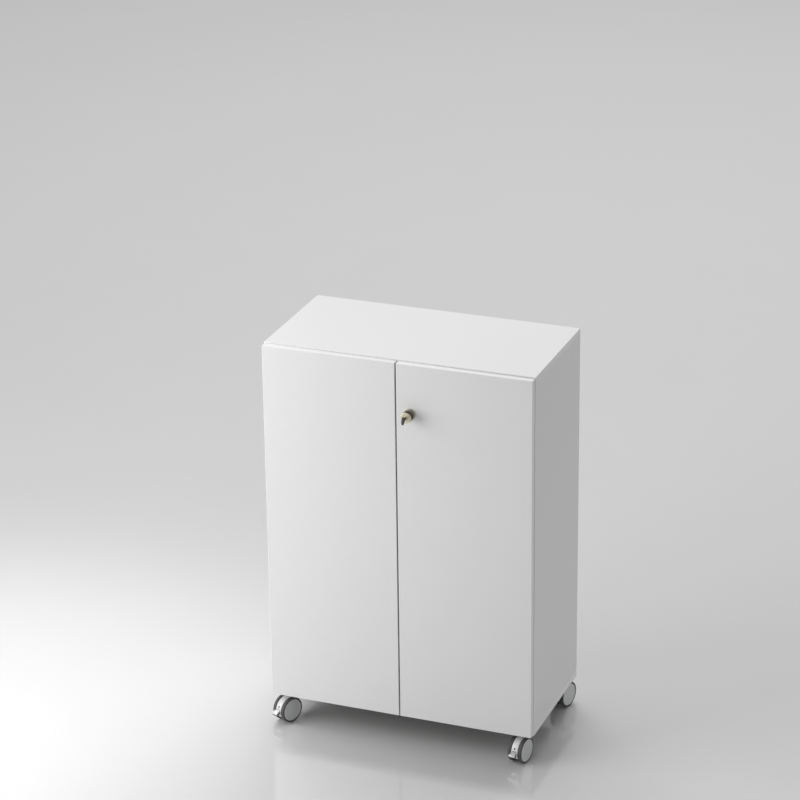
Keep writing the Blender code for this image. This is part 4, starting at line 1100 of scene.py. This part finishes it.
def hood_shape(s, centre, top, pivot=None):
    """The hood and neck between the wheels with the swivel head, bores, pedal slot and rivet hole."""
    low, edge = top - s.head_thick, HOOD_EDGE
    middle = (low + top) / 2
    start = math.degrees(math.acos((-s.neck - centre[0]) / s.hood))
    rise, foot, hood_end, foot_start, foot_end = 0.006, 0.010, 205, 235, 315
    outline = [(s.neck, centre[1] + rise), (s.neck, middle), (-s.neck, middle)]
    outline += arc(centre, s.hood, start, hood_end, BOW)
    outline += arc(centre, foot, foot_start, foot_end, 2 * CORNER)
    hood = prism(outline, -s.hood_half, s.hood_half, "X", edge, 3)
    bmesh.ops.triangulate(hood, faces=hood.faces)
    head = [
        (0.0, low),
        (s.head - edge, low),
        (s.head, low + edge),
        (s.head, top - edge),
        (s.head - edge, top),
        (0.0, top),
    ]
    cuts = [
        pin(s.king_pin, top - s.king_depth, top + OVERSHOOT, "Z"),
        moved(pin(s.axle, -0.05, 0.05, "X"), (0.0, *centre)),
    ]
    if pivot:
        cuts += hood_cuts(s, centre, pivot)
    return fused(hood, joins=[turned(head, "Z")], cuts=cuts)


def hood_cuts(s, centre, pivot):
    """The pedal's slot, its pivot bore and the round rivet hole above it, whose walls take the hood's black
    finish as painted shade.
    """
    clear, reach, swing = 0.0041, 0.039, math.radians(18)
    drop = clear + reach * math.tan(swing)
    outline = [(clear, clear), (-reach, clear), (-reach, -drop), (0.0, -clear - SEAT), (clear, -clear)]
    slot = spun(prism(outline, -s.slot_half, s.slot_half, "X"), s.pedal_slope, "X")
    bore_radius, bore_half, hole_half = 0.0023, 0.0089, 0.004
    bore = pin(bore_radius, -bore_half, bore_half, "X", TINY)
    away = Vector((0.0, math.cos(s.rivet_turn), math.sin(s.rivet_turn)))
    hole = pin(s.rivet, s.hood - hole_half, s.hood + hole_half, "Z", TINY)
    # The hole's walls are painted black: painted shade inside the hole.
    for face in hole.faces:
        face.material_index = 1
    turn = away.to_track_quat("Z", "X").to_matrix()
    bmesh.ops.rotate(hole, verts=hole.verts, cent=(0, 0, 0), matrix=turn)
    return [moved(slot, pivot), moved(bore, pivot), moved(hole, (0.0, *centre))]


def pedal_shapes(s):
    """The folded pedal and the rubber block under its tread, about the pivot."""
    hub, end, thin, stout = s.pedal_hub, s.pedal_hub + 0.0026, 0.002, 0.0035
    thick, snug = 0.0015, 0.0002
    barrel = [(0.0, -end), (thin, -end), (thin, -hub), (stout, -hub)]
    barrel += [(stout, hub), (thin, hub), (thin, end), (0.0, end)]
    bar_end = (s.pedal_start + s.pedal_tip) / 2
    bar = box((-hub + snug, -bar_end, -0.002), (hub - snug, 0.0, 0.0018))
    fold = -s.pedal_tip + 2 * thick
    outline = [
        (-s.pedal_start, thick),
        *arc((-s.pedal_tip + thick, 0.0), thick, 90, 180, CORNER),
        (-s.pedal_tip, -s.pedal_lip),
        (fold, -s.pedal_lip),
        (fold, -thick),
        (-s.pedal_start, -thick),
    ]
    tread = prism(outline, -s.pedal_half, s.pedal_half, "X", SHEET_EDGE)
    pitch, ridge, across = 0.003, 0.0005, s.pedal_half - 0.002
    ridges = []
    for i in range(3):
        y = -s.pedal_start - pitch - pitch * i
        ridges.append(box((-across, y - ridge, 0.001), (across, y + ridge, 0.0019), FINE_EDGE, 2))
    pedal = fused(turned(barrel, "X", SMALL), joins=[bar, tread, *ridges])
    under, inner, lip, foot = -thick - snug, fold + snug, -s.pedal_lip - snug, -0.0100
    block = [
        (-s.pedal_start - 0.0008, under),
        (inner, under),
        (inner, lip),
        (-s.pedal_tip + 0.0006, lip),
        (-s.pedal_tip + 0.0012, foot),
        (-s.pedal_start - 0.0055, foot),
    ]
    half = s.pedal_half - 0.0006
    return pedal, prism(block, -half, half, "X", SHEET_EDGE)


class CUPBOARD_OT_castors(bpy.types.Operator):
    """Models the castors: plates, hoods, wheels and brake pedals, and finishes the axles."""

    bl_idname = "cupboard.castors"
    bl_label = "Castors"

    def execute(self, context):
        s = context.scene.cupboard_castors
        for name in CASTORS:
            place = castor_place(name)
            hub = place.inverted() @ joint_place(f"{name}_left_wheel_spin")
            node = f"{name}_castor_body"
            pivot = place.inverted() @ joint_place(f"{name}_brake") if name in BRAKED else None
            hood = placed(hood_shape(s, (hub.y, hub.z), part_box(node)[1].z, pivot), place)
            # The hood's second finish is black for the walls of the rivet hole: painted shade.
            piece(f"{name}_hood", hood, f"{name}_castor", "bright_steel", "hood rubber", node)
            dress_node(f"{name}_axle", "zinc")
            self.wheels(s, name, place)
            self.plate(s, name)
            if pivot:
                self.pedal(s, name, place, pivot)
        return {"FINISHED"}

    def wheels(self, s, name, place):
        for side, way in INWARD.items():
            wheel = f"{name}_{side}_wheel"
            hub = place.inverted() @ joint_place(f"{wheel}_spin")
            seat = place @ Matrix.Translation(hub) @ mirrored(-way)
            tread, disc = wheel_shapes(s, hub.z)
            piece(f"{wheel}_tread", placed(tread, seat), wheel, "dark_tread", "tread", wheel)
            piece(f"{wheel}_disc", placed(mark_rim(disc, s), seat), wheel, "dark_tread", "disc rim")

    def plate(self, s, name):
        """The mounting plate with its bearing cap, king pin and four screws."""
        node = f"{name}_castor_plate"
        low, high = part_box(node)
        half = (high.x - low.x) / 2
        king = s.king_pin - s.king_play
        seat = high.z - s.plate
        cap = seat - s.bearing_height
        profile = [
            (0.0, low.z),
            (king - TIP, low.z),
            (king, low.z + TIP),
            (king, cap),
            (s.head, cap),
            (s.bearing - TIP, cap + s.bearing_height * 0.35),
            (s.bearing, cap + s.bearing_height * 0.5),
            (s.bearing, seat + s.plate / 2),
            (0.0, seat + s.plate / 2),
        ]
        sheet = prism(plate_outline(half, half, s.plate_corner), seat, high.z, "Z", SHEET_EDGE)
        x, y, _ = centre_of(node)
        shape = moved(fused(turned(profile, "Z"), joins=[sheet]), (x, y, 0.0))
        piece(f"{name}_plate_pressing", shape, "carcass", "bright_steel", "nickel", node)
        inset, under = 0.0065, high.z - 0.0028
        corners = product((low.x + inset, high.x - inset), (low.y + inset, high.y - inset))
        heads = screws("plate", [((x, y, under), (0, 0, -1)) for x, y in corners])
        piece(f"{name}_plate_screws", heads, "carcass", "zinc", "zinc")

    def pedal(self, s, name, place, pivot):
        seat = place @ Matrix.Translation(pivot) @ Matrix.Rotation(s.pedal_slope, 4, "X")
        pedal, pad = pedal_shapes(s)
        node = f"{name}_brake_pedal"
        piece(f"{node}_pressing", placed(pedal, seat), node, "bright_steel", "pedal", node)
        piece(f"{node}_pad", placed(pad, seat), node, "dark_tread", "rubber")


# Fittings


class CUPBOARD_OT_fittings(bpy.types.Operator):
    """Adds the shelf pins, cam caps, door bumpers and the screws of the strikes."""

    bl_idname = "cupboard.fittings"
    bl_label = "Fittings"

    def execute(self, context):
        s = context.scene.cupboard_boards
        for side in INWARD:
            for depth in DEPTHS:
                node = f"{side}_{depth}_shelf_pin"
                piece(f"{node}_turned", self.shelf_pin(s, node, side), "carcass", "zinc", "zinc", node)
            self.bumpers(side)
        self.caps()
        self.strike_screws()
        return {"FINISHED"}

    def shelf_pin(self, s, node, side):
        """A turned pin whose collar is cut level with its top, so that the shelf lies on the pin."""
        low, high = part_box(node)
        collar = (high.y - low.y) / 2
        reach = high.x - low.x - s.pin_sunk
        profile = [
            (0.0, -s.pin_sunk),
            (s.pin_radius - TIP, -s.pin_sunk),
            (s.pin_radius, -s.pin_sunk + TIP),
            (s.pin_radius, SEAT),
            (collar, SEAT),
            (collar, SEAT + s.pin_collar),
            (s.pin_radius, SEAT + s.pin_collar),
            (s.pin_radius, reach - TIP),
            (s.pin_radius - TIP, reach),
            (0.0, reach),
        ]
        reach_over = 2 * OVERSHOOT
        level = s.pin_radius - 0.0001
        over = box((-reach_over, -OVERSHOOT, level), (reach_over, OVERSHOOT, OVERSHOOT))
        shape = fused(turned(profile, "X", SMALL), cuts=[over])
        face = low.x + s.pin_sunk if side == "left" else high.x - s.pin_sunk
        seat = Matrix.Translation((face, centre_of(node)[1], high.z - s.pin_radius))
        return placed(shape, seat @ mirrored(INWARD[side]))

    def caps(self):
        """Round covers over the fittings that draw the boards together."""
        low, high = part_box("fixed_shelf")
        inset, setback = 0.034, 0.06
        profile = [(0.0, 0.0), (0.0085, 0.0), (0.0085, 0.0005), (0.0078, 0.0009)]
        profile += [(0.002, 0.0009), (0.0017, 0.0004), (0.0, 0.0004)]
        across = (inner_face("left") + inset, inner_face("right") - inset)
        depths = (low.y + setback, high.y - setback)
        levels = ((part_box("base_panel")[1].z, 1), (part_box("top_panel")[0].z, -1), (low.z, -1))
        shapes = []
        for x, y, (z, way) in product(across, depths, levels):
            turn = Matrix.Translation((x, y, z)) @ Matrix.Diagonal((1.0, 1.0, way, 1.0))
            shapes.append(placed(turned(profile, "Z", SMALL), turn))
        piece("cam_caps", gathered(shapes), "carcass", "white_board", "cap")

    def bumpers(self, side):
        """Soft buttons at the free corners that land on the top's and the base's front edges."""
        low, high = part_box(f"{side}_door")
        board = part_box("top_panel")
        free = high.x if side == "left" else low.x
        room, inset = board[0].y - high.y, 0.0095
        profile = [(0.0, 0.0), (0.0045, 0.0), (0.004, room * 0.55), (0.0025, room * 0.8), (0.0, room * 0.85)]
        levels = (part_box("base_panel")[0].z + inset, board[1].z - inset)
        reaches = (0.070, 0.200)
        shapes = []
        for z, reach in product(levels, reaches):
            button = spun(turned(profile, "-Y", SMALL), math.pi, "Z")
            shapes.append(moved(button, (free - INWARD[side] * reach, high.y, z)))
        piece(f"{side}_door_bumpers", gathered(shapes), f"{side}_door", "white_board", "clear")

    def strike_screws(self):
        """Screws through the feet of the strikes."""
        thick, inset, setback = 0.0021, 0.006, 0.0045
        heads = []
        for node, way in (("upper_strike", -1), ("lower_strike", 1)):
            low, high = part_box(node)
            seat = high.z - thick if way < 0 else low.z + thick
            for x in (low.x + inset, high.x - inset):
                heads.append(((x, high.y - setback, seat), (0, 0, way)))
        piece("strike_screws", screws("strike", heads), "carcass", "zinc", "zinc")


# Stage


class CUPBOARD_OT_stage(bpy.types.Operator):
    """Sets the floor, the soft studio lights and the camera."""

    bl_idname = "cupboard.stage"
    bl_label = "Stage"

    def execute(self, context):
        s = context.scene.cupboard_stage
        self.floor(s)
        self.lights(s)
        self.camera(s)
        context.scene.view_settings.view_transform = "Standard"
        return {"FINISHED"}

    def floor(self, s):
        bm = bmesh.new()
        bmesh.ops.create_grid(bm, x_segments=1, y_segments=1, size=s.floor_size / 2)
        mesh = mesh_of(bm, "floor")
        polish = coated("pale_floor", s.floor, s.floor_rough, 0.00001, 60.0, 0.01)
        polish.node_tree.nodes["Principled BSDF"].inputs["IOR"].default_value = s.floor_ior
        mesh.materials.append(polish)
        floor = linked("floor", mesh)

    def lights(self, s):
        world = bpy.data.worlds.new("studio")
        world.use_nodes = True
        sky = world.node_tree.nodes["Background"].inputs
        sky["Color"].default_value = (1.0, 1.0, 1.0, 1.0)
        sky["Strength"].default_value = s.ambient
        bpy.context.scene.world = world
        self.light("key", "AREA", KEY_LIGHT, s.key_power).size = s.key_size
        self.light("back", "AREA", BACK_LIGHT, s.back_power).size = s.back_size
        edge = self.light("edge", "SPOT", EDGE_LIGHT, s.edge_power)
        edge.spot_size = s.edge_cone
        edge.spot_blend = 1.0
        edge.shadow_soft_size = s.edge_size

    def light(self, name, kind, stand, power):
        place, aim = map(Vector, stand)
        data = bpy.data.lights.new(name, kind)
        data.energy = power
        obj = linked(name, data)
        obj.location = place
        obj.rotation_euler = (aim - place).to_track_quat("-Z", "Y").to_euler()
        return data

    def camera(self, s):
        level = math.cos(s.pitch)
        look = Vector((-math.sin(s.yaw) * level, math.cos(s.yaw) * level, -math.sin(s.pitch)))
        right = Vector((math.cos(s.yaw), math.sin(s.yaw), 0.0))
        down = look.cross(right)
        across = math.cos(s.roll) * right + math.sin(s.roll) * down
        below = math.cos(s.roll) * down - math.sin(s.roll) * right
        data = bpy.data.cameras.new("camera")
        data.sensor_width = 36.0
        data.lens = s.lens
        data.clip_end = 200.0
        camera = linked("camera", data)
        place = Matrix((across, -below, -look)).transposed().to_4x4()
        place.translation = s.camera_place
        camera.matrix_world = place
        bpy.context.scene.camera = camera


class CUPBOARD_PT_dressing(bpy.types.Panel):
    """Lists the pieces of the cupboard."""

    bl_idname = "CUPBOARD_PT_dressing"
    bl_label = "File cupboard"
    bl_space_type = "VIEW_3D"
    bl_region_type = "UI"
    bl_category = "Cupboard"

    def draw(self, context):
        for operator in OPERATORS:
            self.layout.operator(operator.bl_idname)
        for name in GROUPS:
            settings = getattr(context.scene, name)
            column = self.layout.column(align=True)
            for key in settings.__annotations__:
                column.prop(settings, key)


OPERATORS = (
    CUPBOARD_OT_boards,
    CUPBOARD_OT_hinges,
    CUPBOARD_OT_lock,
    CUPBOARD_OT_castors,
    CUPBOARD_OT_fittings,
    CUPBOARD_OT_stage,
)
CLASSES = (*GROUPS.values(), *OPERATORS, CUPBOARD_PT_dressing)


def register():
    for cls in CLASSES:
        bpy.utils.register_class(cls)
    for name, group in GROUPS.items():
        setattr(bpy.types.Scene, name, PointerProperty(type=group))


def unregister():
    for name in GROUPS:
        delattr(bpy.types.Scene, name)
    for cls in reversed(CLASSES):
        bpy.utils.unregister_class(cls)


def main():
    register()
    make_finishes(bpy.context)
    bpy.ops.cupboard.boards()
    bpy.ops.cupboard.hinges()
    bpy.ops.cupboard.lock()
    bpy.ops.cupboard.castors()
    bpy.ops.cupboard.fittings()
    bpy.ops.cupboard.stage()


if __name__ == "__main__":
    main()
